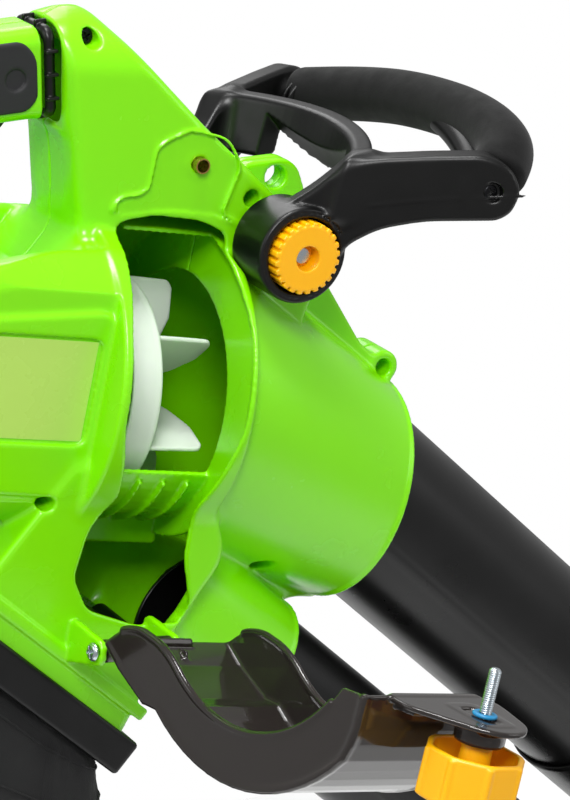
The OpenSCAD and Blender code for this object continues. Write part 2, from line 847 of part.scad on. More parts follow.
module access_cover() {
    color("#4a4440", 0.8) place() hang_open() difference() {
        union() {
            cover_skin();
            cover_wall(cover_s0);
            cover_wall(cover_s1 - cover_t);
            // end wall and tab with its pointed end
            side_plate([[-26, bolt_n - 32], [-26, bolt_n - 16], [bolt_s - 17, bolt_n + 12], [bolt_s, bolt_n + 22],
                [bolt_s + 17, bolt_n + 12], [31, bolt_n - 16], [31, bolt_n - 32]], tab_y - cover_t, tab_y);
            bar_y(11, tab_y - 5, tab_y - 1, bolt_s, bolt_n);
            // barrel of the hinge and its web
            hinge_local() bar_x(6, -hinge_len / 2, hinge_len / 2);
            cross_plate([[-86, -90], [-88.4, -93], [-99, -106], [-95, -112], [-90, -107], [-84, -92]],
                hinge_s - hinge_len / 2 + 2, hinge_s + hinge_len / 2 - 2);
        }
        hinge_local() bar_x(hinge_d / 2 + run, -60, 60);
        bar_y(cover_bolt_d / 2 + run, tab_y - 10, tab_y + 10, bolt_s, bolt_n);
        // long slot beside the bolt
        translate([bolt_s - 3, tab_y - 10, bolt_n - 14]) cube([6, 20, 9]);
        // room for the hub of the front handle
        translate([0, -150, 0]) bar_y(hub_r + 3, -100, 140, pivot_s, pivot_n);
    }
}

pivot_s = pivot_x * cos(fan_pitch) - pivot_z * sin(fan_pitch);
pivot_n = pivot_x * sin(fan_pitch) + pivot_z * cos(fan_pitch);

// Hinge line in the frame of the closed cover
module hinge_local() {
    translate([hinge_s, hinge_y, hinge_n]) rotate([0, -hinge_lift, hinge_yaw]) children();
}

module hinge_screw() {
    color("silver") place() at_hinge() difference() {
        union() {
            bar_x(hinge_d / 2, -hinge_len / 2 - 5, hinge_len / 2 + 9);
            bar_x(5, -hinge_len / 2 - 8.4, -hinge_len / 2 - 4.8);
        }
        translate([-hinge_len / 2 - 9, -3, -0.5]) cube([2, 6, 1]);
        translate([-hinge_len / 2 - 9, -0.5, -3]) cube([2, 1, 6]);
    }
}

module hinge_nut() {
    color("silver") place() at_hinge() difference() {
        translate([hinge_len / 2 + 4.8, 0, 0]) rotate([0, 90, 0]) cylinder(r = 4.6, h = 3.6, $fn = 6);
        bar_x(hinge_d / 2, 0, 60);
    }
}

module cover_bolt() {
    color("silver") place() hang_open() bar_y(cover_bolt_d / 2, tab_y - 22, bolt_tip_y, bolt_s, bolt_n);
}

module cover_washer() {
    color("#2a86b8") place() hang_open() difference() {
        bar_y(cover_bolt_d / 2 + 1.6, tab_y + 0.4, tab_y + 1.4, bolt_s, bolt_n);
        bar_y(cover_bolt_d / 2, tab_y - 5, tab_y + 5, bolt_s, bolt_n);
    }
}

module cover_knob() {
    knob_top = tab_y - 9;
    color("#ffc400") place() hang_open() difference() {
        union() {
            translate([bolt_s, knob_top, bolt_n]) rotate([90, 0, 0]) rotate([0, 0, 22.5])
                cylinder(d = cover_knob_w / cos(22.5), h = 27, $fn = 8);
            bar_y(9, tab_y - 20, tab_y - 5.4, bolt_s, bolt_n);
        }
        difference() {
            translate([bolt_s, knob_top + 1, bolt_n]) rotate([90, 0, 0]) rotate([0, 0, 22.5])
                cylinder(d = cover_knob_w / cos(22.5) - 6, h = 25, $fn = 8);
            bar_y(9, tab_y - 50, tab_y - 5.4, bolt_s, bolt_n);
        }
        bar_y(cover_bolt_d / 2, tab_y - 22, tab_y, bolt_s, bolt_n);
    }
}

module interlock_switch() {
    color("#2a2a2c") place() at_fan() translate([bolt_s - 12, bolt_tip_y + 0.6, bolt_n - 8]) cube([24, 7, 13]);
}

// ---------------------------------------------------------------- selector flap

flap_y0 = -64.9;
flap_y1 = -12;

module flap() {
    color("#161618") place() translate([flap_x, 0, flap_z]) rotate([0, 37, 0]) difference() {
        union() {
            bar_y(6, flap_y0, flap_y1);
            translate([-flap_len, flap_y0, -1.2]) cube([flap_len, flap_y1 - flap_y0, 2.4]);
        }
        bar_y(3, flap_y0 - 1, flap_y1 + 1);
    }
}

module flap_shaft() {
    color("silver") place() bar_y(3, flap_y0 - 1, duct_y1 + 13, flap_x, flap_z);
}

module selector_lever() {
    color("#ffb400") place() translate([flap_x, 0, flap_z]) rotate([0, 37, 0]) difference() {
        union() {
            bar_y(13, duct_y1 + 4, duct_y1 + 12);
            translate([-34, duct_y1 + 4, -5]) cube([34, 8, 10]);
            bar_y(6, duct_y1 + 4, duct_y1 + 16, -34, 0);
        }
        bar_y(3, 0, 80);
    }
}

// ---------------------------------------------------------------- bag

module bag_collar() {
    color("#141416") place() at_tube() difference() {
        translate([bag_t0 - 5, duct_y0 - 5, duct_w - 16]) cube([bag_l + 10, duct_y1 - duct_y0 + 10, 20]);
        translate([bag_t0 - gap, duct_y0 - gap, duct_w - 1.5])
            cube([bag_l + 2 * gap, duct_y1 - duct_y0 + 2 * gap, 12]);
        translate([bag_t0 + wall, duct_y0 + wall, duct_w - 20])
            cube([bag_l - 2 * wall, duct_y1 - duct_y0 - 2 * wall, 30]);
    }
}

module collar_seal() {
    color("#303032") place() at_tube() difference() {
        translate([bag_t0, duct_y0, duct_w - 1.5]) cube([bag_l, duct_y1 - duct_y0, 1.5]);
        translate([bag_t0 + wall, duct_y0 + wall, duct_w - 3])
            cube([bag_l - 2 * wall, duct_y1 - duct_y0 - 2 * wall, 6]);
    }
}

// Woven bag, as the full shape that hangs from the collar
module debris_bag() {
    color("#232325") place() difference() {
        hull() {
            at_tube() translate([bag_t0 + 2, duct_y0 + 2, duct_w - 17]) cube([bag_l - 4, duct_y1 - duct_y0 - 4, 1]);
            for (x = [-178, -72]) for (y = [duct_y0 + 2, duct_y1 - 2])
                translate([x, y, bag_z - 60]) sphere(r = 34, $fn = 24);
            for (x = [-168, -96]) for (y = [duct_y0 + 12, duct_y1 - 12])
                translate([x, y, bag_z - bag_drop + 30]) sphere(r = 30, $fn = 24);
        }
        at_tube() translate([bag_t0 - 30, duct_y0 - 30, duct_w - 16]) cube([bag_l + 60, 200, 60]);
    }
}

bag_z = -150;

module bag_zip() {
    color("#101012") place() translate([-132, (duct_y0 + duct_y1) / 2, bag_z - bag_drop]) {
        translate([-52, -4, -1.6]) cube([104, 8, 1.4]);
        translate([-50, -5, -4.6]) cube([12, 10, 3]);
    }
}

latch_t = bag_t0 - 11;
latch_w = duct_w - 6;
latch_y = (duct_y0 + duct_y1) / 2;

module bag_latch() {
    color("#f5b800") place() at_tube() difference() {
        union() {
            bar_y(4.5, latch_y - 14, latch_y + 14, latch_t, latch_w);
            translate([latch_t - 2.5, latch_y - 14, latch_w]) cube([3.5, 28, 34]);
            translate([latch_t - 2.5, latch_y - 10, latch_w + 25]) cube([9, 20, 3]);
            translate([latch_t - 6, latch_y - 14, latch_w - 16]) cube([3.5, 28, 16]);
        }
        bar_y(2 + run, latch_y - 20, latch_y + 20, latch_t, latch_w);
    }
}

module latch_pin() {
    color("silver") place() at_tube() bar_y(2, latch_y - 19, latch_y + 19, latch_t, latch_w);
}

right_housing();
left_housing();
housing_screws();
rating_plate();
cover_nut_insert();
impeller();
impeller_nut();
motor_shaft();
front_bearing();
rear_bearing();
armature();
commutator();
stator();
carbon_brushes();
brush_holders();
main_switch();
control_board();
trigger();
trigger_pin();
trigger_spring();
speed_dial();
cable_gland();
grip_inserts();
handle_collar();
front_handle();
foam_grip();
grip_bar();
grip_screws();
pivot_bolt();
pivot_nut();
handle_knob();
upper_suction_tube();
lower_suction_tube();
upper_blow_tube();
lower_blow_tube();
tube_screws();
access_cover();
hinge_screw();
hinge_nut();
cover_bolt();
cover_washer();
cover_knob();
interlock_switch();
flap();
flap_shaft();
selector_lever();
bag_collar();
collar_seal();
debris_bag();
bag_latch();
latch_pin();
bag_zip();
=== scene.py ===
import json
import math
import bpy
import numpy as np
import openvdb
from mathutils import Matrix, Vector


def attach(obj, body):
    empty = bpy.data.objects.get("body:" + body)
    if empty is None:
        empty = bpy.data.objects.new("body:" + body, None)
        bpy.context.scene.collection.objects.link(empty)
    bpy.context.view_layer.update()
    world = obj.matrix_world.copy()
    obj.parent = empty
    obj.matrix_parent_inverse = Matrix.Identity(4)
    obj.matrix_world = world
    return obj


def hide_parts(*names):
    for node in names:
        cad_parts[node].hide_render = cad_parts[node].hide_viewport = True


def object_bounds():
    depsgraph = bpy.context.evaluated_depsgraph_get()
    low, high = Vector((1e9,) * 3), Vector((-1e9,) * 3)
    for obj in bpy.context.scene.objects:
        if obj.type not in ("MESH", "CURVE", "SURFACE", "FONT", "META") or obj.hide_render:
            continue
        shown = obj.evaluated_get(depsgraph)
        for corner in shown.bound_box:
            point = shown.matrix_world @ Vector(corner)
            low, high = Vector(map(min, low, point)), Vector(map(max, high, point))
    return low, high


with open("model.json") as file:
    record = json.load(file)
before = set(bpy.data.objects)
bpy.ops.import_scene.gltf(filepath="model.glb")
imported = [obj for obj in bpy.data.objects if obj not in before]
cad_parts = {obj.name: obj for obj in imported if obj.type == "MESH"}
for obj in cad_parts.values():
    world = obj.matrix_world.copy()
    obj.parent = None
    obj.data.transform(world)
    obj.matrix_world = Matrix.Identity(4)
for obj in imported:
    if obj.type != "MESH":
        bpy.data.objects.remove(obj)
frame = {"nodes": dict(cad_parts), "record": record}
cad_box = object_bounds()
nodes = frame["nodes"]

# ------------------------------------------------------------------ layout, in millimetres
# The blower is laid out about the middle of its impeller (X forward, Y to the left, Z up);
# STRAP_EYE is where the frame's origin lies from there.
STRAP_EYE = np.array([97.0, 0.0, 101.0])
FAN_PITCH = math.radians(13)
TUBE_PITCH = math.radians(45)
CASE_Y, CASE_N = -5.0, 8.0
CASE_R = 85.8
CASE_REAR, CASE_FRONT = -41.0, 37.0
WALL = 2.8
RIM = np.array([142.0, 0.0, -83.0])
RIM_PITCH = math.radians(24)
RIM_R = 62.8
PIVOT = np.array([76.0, 0.0, 79.0])
SUCTION_W = 42.4
BLOW_W, BLOW_Y = -68.0, -20.0


def tilted(pitch, points):
    """Points (along, side, up) of an axis tilted forward and down, moved to the blower's own axes."""
    p = np.asarray(points, float)
    c, s = math.cos(pitch), math.sin(pitch)
    return np.stack([p[..., 0] * c + p[..., 2] * s, p[..., 1], -p[..., 0] * s + p[..., 2] * c], -1)


def fan(s, y, n):
    return tilted(FAN_PITCH, [s, y, n])


def tube(t, y, w):
    return tilted(TUBE_PITCH, [t, y, w])


def fan_outline(points):
    """Side outline given along and across the motor axis, turned to X and Z."""
    return [tuple(fan(s, 0, n)[[0, 2]]) for s, n in points]


def tube_outline(points):
    return [tuple(tube(t, 0, w)[[0, 2]]) for t, w in points]


def to_metres(points):
    return (np.asarray(points, float) - STRAP_EYE) / 1000.0


# ------------------------------------------------------------------ shaping moulded pieces
def corner(u, v, soft):
    """Distance to an edge where two faces at distances u and v meet, rounded by soft."""
    a, b = u + soft, v + soft
    return np.hypot(np.maximum(a, 0), np.maximum(b, 0)) + np.minimum(np.maximum(a, b), 0) - soft


def rod(a, b, r, r2=None, soft=0.0):
    """Round bar or cone from a to b with rounded ends."""
    a, b = np.array(a, float), np.array(b, float)
    length = float(np.linalg.norm(b - a))
    axis = (b - a) / length
    end = r if r2 is None else r2
    big = max(r, end)

    def field(x, y, z):
        px, py, pz = x - a[0], y - a[1], z - a[2]
        along = px * axis[0] + py * axis[1] + pz * axis[2]
        across = np.sqrt(np.maximum(px * px + py * py + pz * pz - along * along, 0))
        radius = r + (end - r) * np.clip(along / length, 0, 1)
        return corner(across - radius, np.abs(along - length / 2) - length / 2, soft)
    return field, np.minimum(a, b) - big, np.maximum(a, b) + big


def ring(a, b, r_out, r_in, soft=0.0):
    """Round sleeve from a to b."""
    outer, lo, hi = rod(a, b, r_out, None, soft)
    inner = rod(a, b, r_in)[0]
    a, b = np.array(a, float), np.array(b, float)
    axis = (b - a) / np.linalg.norm(b - a)

    def field(x, y, z):
        px, py, pz = x - a[0], y - a[1], z - a[2]
        along = px * axis[0] + py * axis[1] + pz * axis[2]
        across = np.sqrt(np.maximum(px * px + py * py + pz * pz - along * along, 0))
        return np.maximum(outer(x, y, z), r_in - across)
    return field, lo, hi


def soft_corners(points, r, steps=5):
    """Outline with every corner rounded by about r."""
    p = np.array(points, float)
    out = []
    for i in range(len(p)):
        before, here, after = p[i - 1], p[i], p[(i + 1) % len(p)]
        back, ahead = before - here, after - here
        lb, la = np.linalg.norm(back), np.linalg.norm(ahead)
        cut = min(r, lb * 0.45, la * 0.45)
        start, stop = here + back / lb * cut, here + ahead / la * cut
        for k in range(steps + 1):
            t = k / steps
            out.append((1 - t) ** 2 * start + 2 * t * (1 - t) * here + t * t * stop)
    return np.array(out)


def outline_distance(points, u, v):
    """Signed distance from a closed outline, below zero inside it."""
    p = np.asarray(points, float)
    best, inside = None, None
    for i in range(len(p)):
        ax, ay = p[i - 1]
        bx, by = p[i]
        ex, ey = bx - ax, by - ay
        wx, wy = u - ax, v - ay
        t = np.clip((wx * ex + wy * ey) / (ex * ex + ey * ey + 1e-12), 0, 1)
        gap = (wx - ex * t) ** 2 + (wy - ey * t) ** 2
        best = gap if best is None else np.minimum(best, gap)
        crosses = ((ay > v) != (by > v)) & (u < ex * (v - ay) / (ey if ey != 0 else 1e-12) + ax)
        inside = crosses if inside is None else inside ^ crosses
    return np.where(inside, -1.0, 1.0) * np.sqrt(best)


def plate(points, low, high, soft=0.0, bend=0.0, axis=1):
    """Outline given a thickness along one axis; bend rounds its corners and soft its edges."""
    shape = soft_corners(points, bend) if bend else np.array(points, float)
    others = [i for i in range(3) if i != axis]
    lo, hi = np.zeros(3), np.zeros(3)
    lo[axis], hi[axis] = low, high
    lo[others], hi[others] = shape.min(0), shape.max(0)

    def field(x, y, z):
        grid = (x, y, z)
        flat = outline_distance(shape, grid[others[0]], grid[others[1]])
        return corner(flat, np.abs(grid[axis] - (low + high) / 2) - (high - low) / 2, soft)
    return field, lo, hi


def brick(lo, hi, soft=0.0):
    lo, hi = np.array(lo, float), np.array(hi, float)
    mid, half = (lo + hi) / 2, (hi - lo) / 2

    def field(x, y, z):
        q = [np.abs(g - mid[i]) - half[i] + soft for i, g in enumerate((x, y, z))]
        out = np.sqrt(sum(np.maximum(g, 0) ** 2 for g in q))
        return out + np.minimum(np.maximum(np.maximum(q[0], q[1]), q[2]), 0) - soft
    return field, lo, hi


def bead(path, r):
    """Round bead along a line of points."""
    p = np.array(path, float)

    def field(x, y, z):
        best = None
        for a, b in zip(p[:-1], p[1:]):
            e = b - a
            wx, wy, wz = x - a[0], y - a[1], z - a[2]
            t = np.clip((wx * e[0] + wy * e[1] + wz * e[2]) / (e @ e + 1e-9), 0, 1)
            gap = (wx - e[0] * t) ** 2 + (wy - e[1] * t) ** 2 + (wz - e[2] * t) ** 2
            best = gap if best is None else np.minimum(best, gap)
        return np.sqrt(best) - r
    return field, p.min(0) - r, p.max(0) + r


def loft(c0, n0, r0, c1, n1, r1):
    """Duct between two round mouths with their own centres, directions and radii."""
    c0, c1 = np.array(c0, float), np.array(c1, float)
    n0, n1 = np.array(n0, float), np.array(n1, float)

    def field(x, y, z):
        d0 = (x - c0[0]) * n0[0] + (y - c0[1]) * n0[1] + (z - c0[2]) * n0[2]
        d1 = -((x - c1[0]) * n1[0] + (y - c1[1]) * n1[1] + (z - c1[2]) * n1[2])
        t = np.clip(d0 / (np.maximum(d0, 0) + np.maximum(d1, 0) + 1e-6), 0, 1)
        px, py, pz = (g - (c0[i] + (c1[i] - c0[i]) * t) for i, g in enumerate((x, y, z)))
        nx, ny, nz = (n0[i] + (n1[i] - n0[i]) * t for i in range(3))
        size = np.sqrt(nx * nx + ny * ny + nz * nz)
        along = (px * nx + py * ny + pz * nz) / size
        across = np.sqrt(np.maximum(px * px + py * py + pz * pz - along * along, 0))
        return np.maximum(across - (r0 + (r1 - r0) * t), np.maximum(-d0, -d1))
    big = max(r0, r1)
    return field, np.minimum(c0, c1) - big, np.maximum(c0, c1) + big


def moved(shape, rotation, shift):
    """The shape turned and shifted: a point p of it goes to rotation @ p + shift."""
    field, lo, hi = shape
    m, s = np.array(rotation, float), np.array(shift, float)
    corners = np.array([[a, b, c] for a in (lo[0], hi[0]) for b in (lo[1], hi[1]) for c in (lo[2], hi[2])])
    corners = corners @ m.T + s

    def turned(x, y, z):
        gx, gy, gz = x - s[0], y - s[1], z - s[2]
        return field(*(m[0, i] * gx + m[1, i] * gy + m[2, i] * gz for i in range(3)))
    return turned, corners.min(0), corners.max(0)


class Block:
    """A block of space on an even grid in which one moulded piece is shaped."""

    def __init__(self, lo, hi, cell):
        self.cell = cell * 1.0
        self.lo = np.array(lo, float) - 3 * self.cell
        count = np.ceil((np.array(hi, float) + 3 * self.cell - self.lo) / self.cell).astype(int) + 1
        self.d = np.full(count, 60.0, np.float32)

    def region(self, lo, hi, margin):
        a = np.floor((np.array(lo) - margin - self.lo) / self.cell).astype(int)
        b = np.ceil((np.array(hi) + margin - self.lo) / self.cell).astype(int) + 1
        a, b = np.clip(a, 0, self.d.shape), np.clip(b, 0, self.d.shape)
        grid = []
        for i in range(3):
            line = (self.lo[i] + np.arange(a[i], b[i]) * self.cell).astype(np.float32)
            grid.append(line.reshape([-1 if j == i else 1 for j in range(3)]))
        return tuple(slice(a[i], b[i]) for i in range(3)), grid

    def blend(self, a, b, k):
        if k <= 0:
            return np.minimum(a, b)
        h = np.maximum(k - np.abs(a - b), 0) / k
        return np.minimum(a, b) - h * h * k / 4

    def add(self, shape, k=0.0):
        where, grid = self.region(shape[1], shape[2], k + 8)
        if min(s.stop - s.start for s in where) > 0:
            self.d[where] = self.blend(self.d[where], shape[0](*grid).astype(np.float32), k)
        return self

    def cut(self, shape, k=0.0):
        where, grid = self.region(shape[1], shape[2], k + 4)
        if min(s.stop - s.start for s in where) > 0:
            self.d[where] = -self.blend(-self.d[where], shape[0](*grid).astype(np.float32), k)
        return self

    def keep(self, other):
        self.d = np.maximum(self.d, other)
        return self

    def copy(self):
        twin = object.__new__(Block)
        twin.cell, twin.lo, twin.d = self.cell, self.lo.copy(), self.d.copy()
        return twin

    def mesh(self):
        """Points in millimetres and four-sided faces of the surface."""
        band = 3 * self.cell
        grid = openvdb.FloatGrid(band)
        grid.copyFromArray(np.clip(self.d, -band, band))
        points, quads = grid.convertToQuads(isovalue=0.0)
        return points.astype(float) * self.cell + self.lo, quads


# ------------------------------------------------------------------ finishes
def hexed(code):
    """A printed colour turned to the linear values that light works in."""
    parts = [int(code[i:i + 2], 16) / 255 for i in (1, 3, 5)]
    return tuple(c / 12.92 if c <= 0.04045 else ((c + 0.055) / 1.055) ** 2.4 for c in parts) + (1.0,)


def part_of(tree, kind, links=(), **settings):
    """Adds one node with its settings, and the links (socket of it, output of another) into it."""
    made = tree.nodes.new(kind)
    for key, value in settings.items():
        if key in made.inputs:
            made.inputs[key].default_value = value
        elif key.startswith("in") and key[2:].isdigit():
            made.inputs[int(key[2:])].default_value = value
        else:
            setattr(made, key, value)
    for socket, output in links:
        tree.links.new(output, made.inputs[socket])
    return made


def finish(name, colour, roughness, metallic=0.0, ior=1.5, **more):
    """A new material with its uniform values on the shader; returns it, its tree, shader and place."""
    made = bpy.data.materials.new(name)
    made.use_nodes = True
    tree = made.node_tree
    shader = tree.nodes["Principled BSDF"]
    shader.inputs["Base Color"].default_value = hexed(colour)
    shader.inputs["Roughness"].default_value = roughness
    shader.inputs["Metallic"].default_value = metallic
    if not metallic:
        shader.inputs["IOR"].default_value = ior
    for key, value in more.items():
        shader.inputs[key.replace("_", " ")].default_value = value
    place = tree.nodes.new("ShaderNodeTexCoord").outputs["Object"]
    return made, tree, shader, place


def grain(tree, place, shader, size_mm, depth_mm, detail=3.0, more=()):
    """Fine moulded texture of a real size, pressed into the surface; more adds other (size, depth) layers."""
    normal = None
    for size, depth in ((size_mm, depth_mm),) + tuple(more):
        noise = part_of(tree, "ShaderNodeTexNoise", [("Vector", place)], Scale=1000.0 / size, Detail=detail)
        links = [("Height", noise.outputs["Fac"])]
        if normal is not None:
            links.append(("Normal", normal))
        bump = part_of(tree, "ShaderNodeBump", links, Strength=1.0, Distance=depth / 1000.0)
        normal = bump.outputs["Normal"]
    tree.links.new(normal, shader.inputs["Normal"])


def mottle(tree, place, shader, low, high, size_mm, socket="Roughness"):
    """Slow change of one value over the surface, as handling leaves it."""
    noise = part_of(tree, "ShaderNodeTexNoise", [("Vector", place)], Scale=1000.0 / size_mm, Detail=4.0)
    spread = part_of(tree, "ShaderNodeMapRange", [("Value", noise.outputs["Fac"])])
    spread.inputs["From Min"].default_value = 0.3
    spread.inputs["From Max"].default_value = 0.7
    spread.inputs["To Min"].default_value = low
    spread.inputs["To Max"].default_value = high
    tree.links.new(spread.outputs["Result"], shader.inputs[socket])


def green_abs():
    # Injection-moulded ABS, self-coloured lime: a satin skin, so broad soft highlights, with
    # light carried a little way under the surface that brightens thin lips and edges.
    made, tree, shader, place = finish("Lime ABS housing, satin moulded", "#7FE000", 0.24, ior=1.53)
    shader.inputs["Subsurface Weight"].default_value = 0.12
    shader.inputs["Subsurface Radius"].default_value = (0.5, 1.0, 0.1)
    shader.inputs["Subsurface Scale"].default_value = 0.004
    mottle(tree, place, shader, 0.2, 0.3, 45)
    grain(tree, place, shader, 0.9, 0.006, more=((60, 0.05),))
    return made


def black_nylon():
    # Glass-filled nylon with a fine spark-eroded texture: near black, with a dull sheen
    made, tree, shader, place = finish("Black nylon, fine moulded grain", "#080808", 0.33, ior=1.42)
    mottle(tree, place, shader, 0.28, 0.42, 25)
    grain(tree, place, shader, 0.6, 0.012)
    return made


def tube_plastic():
    # Blow-moulded polypropylene: smoother and glossier, long faint ripples down the tube
    made, tree, shader, place = finish("Black polypropylene tube", "#0A0A0A", 0.3, ior=1.42)
    mottle(tree, place, shader, 0.24, 0.38, 60)
    grain(tree, place, shader, 1.2, 0.006, more=((35, 0.06),))
    return made


def knob_yellow():
    # Self-coloured nylon, a warm opaque yellow with a soft gloss
    made, tree, shader, place = finish("Signal yellow nylon knob", "#FFB800", 0.38, ior=1.53)
    shader.inputs["Subsurface Weight"].default_value = 0.15
    shader.inputs["Subsurface Radius"].default_value = (1.0, 0.5, 0.1)
    shader.inputs["Subsurface Scale"].default_value = 0.002
    mottle(tree, place, shader, 0.32, 0.45, 12)
    grain(tree, place, shader, 0.7, 0.01)
    return made


def impeller_nylon():
    # Natural nylon, unpigmented: milky and slightly green-grey, light passes into thin blades
    made, tree, shader, place = finish("Natural nylon impeller", "#D9E4D6", 0.35, ior=1.53)
    shader.inputs["Subsurface Weight"].default_value = 0.6
    shader.inputs["Subsurface Radius"].default_value = (1.0, 1.1, 0.9)
    shader.inputs["Subsurface Scale"].default_value = 0.006
    mottle(tree, place, shader, 0.3, 0.45, 20)
    grain(tree, place, shader, 1.5, 0.01)
    return made


def smoky_polycarbonate():
    # Clear polycarbonate tinted smoke grey: glossy, one wall lets a little light through and two
    # walls read nearly black; the thick beads along its edges stay darkest.
    made, tree, shader, place = finish("Smoke-tinted polycarbonate", "#3A3431", 0.1, ior=1.45)
    shader.inputs["Transmission Weight"].default_value = 0.55
    shader.inputs["Coat Weight"].default_value = 0.3
    shader.inputs["Coat Roughness"].default_value = 0.05
    mottle(tree, place, shader, 0.06, 0.16, 30)
    grain(tree, place, shader, 25, 0.03)
    return made


def zinc():
    # Zinc-plated steel, slightly blue, with fine drawn scratches
    made, tree, shader, place = finish("Zinc-plated steel", "#C9D2D8", 0.25, metallic=1.0)
    mottle(tree, place, shader, 0.16, 0.36, 3)
    grain(tree, place, shader, 0.25, 0.004)
    return made


def black_oxide():
    # Black-oxide steel screws, dull with a slight glint on the worn edges
    made, tree, shader, place = finish("Black-oxide steel", "#2A2A2C", 0.4, metallic=1.0)
    mottle(tree, place, shader, 0.3, 0.5, 2)
    grain(tree, place, shader, 0.3, 0.006)
    return made


def brass():
    made, tree, shader, place = finish("Turned brass insert", "#C9A25A", 0.28, metallic=1.0)
    mottle(tree, place, shader, 0.2, 0.4, 2)
    grain(tree, place, shader, 0.3, 0.005)
    return made


def copper():
    # Enamelled copper windings: fine parallel wires
    made, tree, shader, place = finish("Enamelled copper winding", "#A8592B", 0.35, metallic=1.0)
    wires = part_of(tree, "ShaderNodeTexWave", [("Vector", place)], Scale=1200.0)
    bump = part_of(tree, "ShaderNodeBump", [("Height", wires.outputs["Fac"])], Strength=0.8, Distance=0.0002)
    tree.links.new(bump.outputs["Normal"], shader.inputs["Normal"])
    return made


def lamination():
    # Stacked electrical steel: thin dark lines along the stack
    made, tree, shader, place = finish("Laminated electrical steel", "#6D7073", 0.45, metallic=1.0)
    sheets = part_of(tree, "ShaderNodeTexWave", [("Vector", place)], Scale=900.0)
    bump = part_of(tree, "ShaderNodeBump", [("Height", sheets.outputs["Fac"])], Strength=0.6, Distance=0.0002)
    tree.links.new(bump.outputs["Normal"], shader.inputs["Normal"])
    return made


def soft_rubber():
    # Overmoulded soft grip, matt, with a fine leather-like grain
    made, tree, shader, place = finish("Soft overmould, matt black", "#1C1C1E", 0.6, ior=1.5)
    mottle(tree, place, shader, 0.55, 0.7, 18)
    grain(tree, place, shader, 0.8, 0.05)
    return made


def foam():
    # Closed-cell foam sleeve: matt, with a skin of tiny pores
    made, tree, shader, place = finish("Closed-cell foam sleeve", "#080808", 0.85, ior=1.33)
    shader.inputs["Sheen Weight"].default_value = 0.08
    shader.inputs["Sheen Roughness"].default_value = 0.5
    pores = part_of(tree, "ShaderNodeTexVoronoi", [("Vector", place)], Scale=1100.0)
    bump = part_of(tree, "ShaderNodeBump", [("Height", pores.outputs["Distance"])], Strength=0.5, Distance=0.0001)
    lumps = part_of(tree, "ShaderNodeTexNoise", [("Vector", place)], Scale=260.0, Detail=4.0)
    bump2 = part_of(tree, "ShaderNodeBump", [("Height", lumps.outputs["Fac"]), ("Normal", bump.outputs["Normal"])],
                    Strength=0.6, Distance=0.00015)
    tree.links.new(bump2.outputs["Normal"], shader.inputs["Normal"])
    mottle(tree, place, shader, 0.75, 0.95, 10)
    return made


def bag_weave():
    # Coated polyester, plain weave of about 0.7 mm: crossing threads in relief, matt black
    made, tree, shader, place = finish("Woven polyester bag cloth", "#0A0A0B", 0.8, ior=1.4)
    shader.inputs["Sheen Weight"].default_value = 0.06
    warp = part_of(tree, "ShaderNodeTexWave", [("Vector", place)], Scale=700.0, Distortion=0.4)
    warp.bands_direction = "Z"
    weft = part_of(tree, "ShaderNodeTexWave", [("Vector", place)], Scale=700.0, Distortion=0.4)
    weft.bands_direction = "DIAGONAL"
    both = part_of(tree, "ShaderNodeMath", [(0, warp.outputs["Fac"]), (1, weft.outputs["Fac"])], operation="MULTIPLY")
    bump = part_of(tree, "ShaderNodeBump", [("Height", both.outputs["Value"])], Strength=1.0, Distance=0.0005)
    tree.links.new(bump.outputs["Normal"], shader.inputs["Normal"])
    mottle(tree, place, shader, 0.65, 0.85, 30)
    return made


def board():
    made, tree, shader, place = finish("Glass-epoxy circuit board", "#1E5A2C", 0.35)
    grain(tree, place, shader, 0.5, 0.01)
    return made


def carbon():
    made, tree, shader, place = finish("Pressed carbon brush", "#1E1E1F", 0.55)
    grain(tree, place, shader, 0.4, 0.02)
    return made


def blue_nylon():
    made, tree, shader, place = finish("Blue nylon lock ring", "#1F7FB0", 0.4)
    grain(tree, place, shader, 0.4, 0.01)
    return made


def plate_print():
    # Blank printed foil: a paler green than the shell, slightly glossier
    made, tree, shader, place = finish("Blank printed data foil", "#B4DA63", 0.28)
    mottle(tree, place, shader, 0.22, 0.34, 15)
    grain(tree, place, shader, 6, 0.01)
    return made


def studio_paper():
    made, tree, shader, place = finish("Studio paper", "#F4F4F4", 0.9)
    return made


LOOKS = {
    "housing_green": green_abs(), "black_plastic": black_nylon(), "tube_black": tube_plastic(),
    "knob_yellow": knob_yellow(), "impeller_white": impeller_nylon(), "smoke_clear": smoky_polycarbonate(),
    "zinc_steel": zinc(), "black_screw": black_oxide(), "brass": brass(), "copper": copper(),
    "lamination": lamination(), "carbon": carbon(), "soft_grip": soft_rubber(), "foam": foam(),
    "bag_cloth": bag_weave(), "blue_lock": blue_nylon(), "board_green": board(), "label_green": plate_print(),
}
SLOT_OF = {part["node"]: part["material_slot"] for part in frame["record"]["subparts"]}


# ------------------------------------------------------------------ making pieces
def piece(name, points, faces, slot_name, body, stands_for=(), smooth=True, metres=False):
    """A mesh piece in the frame, with its finish, riding on its body and standing for CAD nodes."""
    mesh = bpy.data.meshes.new(name)
    p = np.asarray(points, float) if metres else to_metres(points)
    mesh.from_pydata(p.tolist(), [], [list(map(int, f)) for f in faces])
    mesh.update()
    mesh.validate()
    mesh.materials.append(LOOKS[slot_name])
    if smooth:
        mesh.polygons.foreach_set("use_smooth", [True] * len(mesh.polygons))
    made = bpy.data.objects.new(name, mesh)
    bpy.context.scene.collection.objects.link(made)
    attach(made, body)
    if stands_for:
        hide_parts(*stands_for)
    return made


def from_block(name, block, slot_name, body, stands_for=(), turn=None):
    points, quads = block.mesh()
    if turn is not None:
        points = turn(points)
    return piece(name, points, quads, slot_name, body, stands_for)


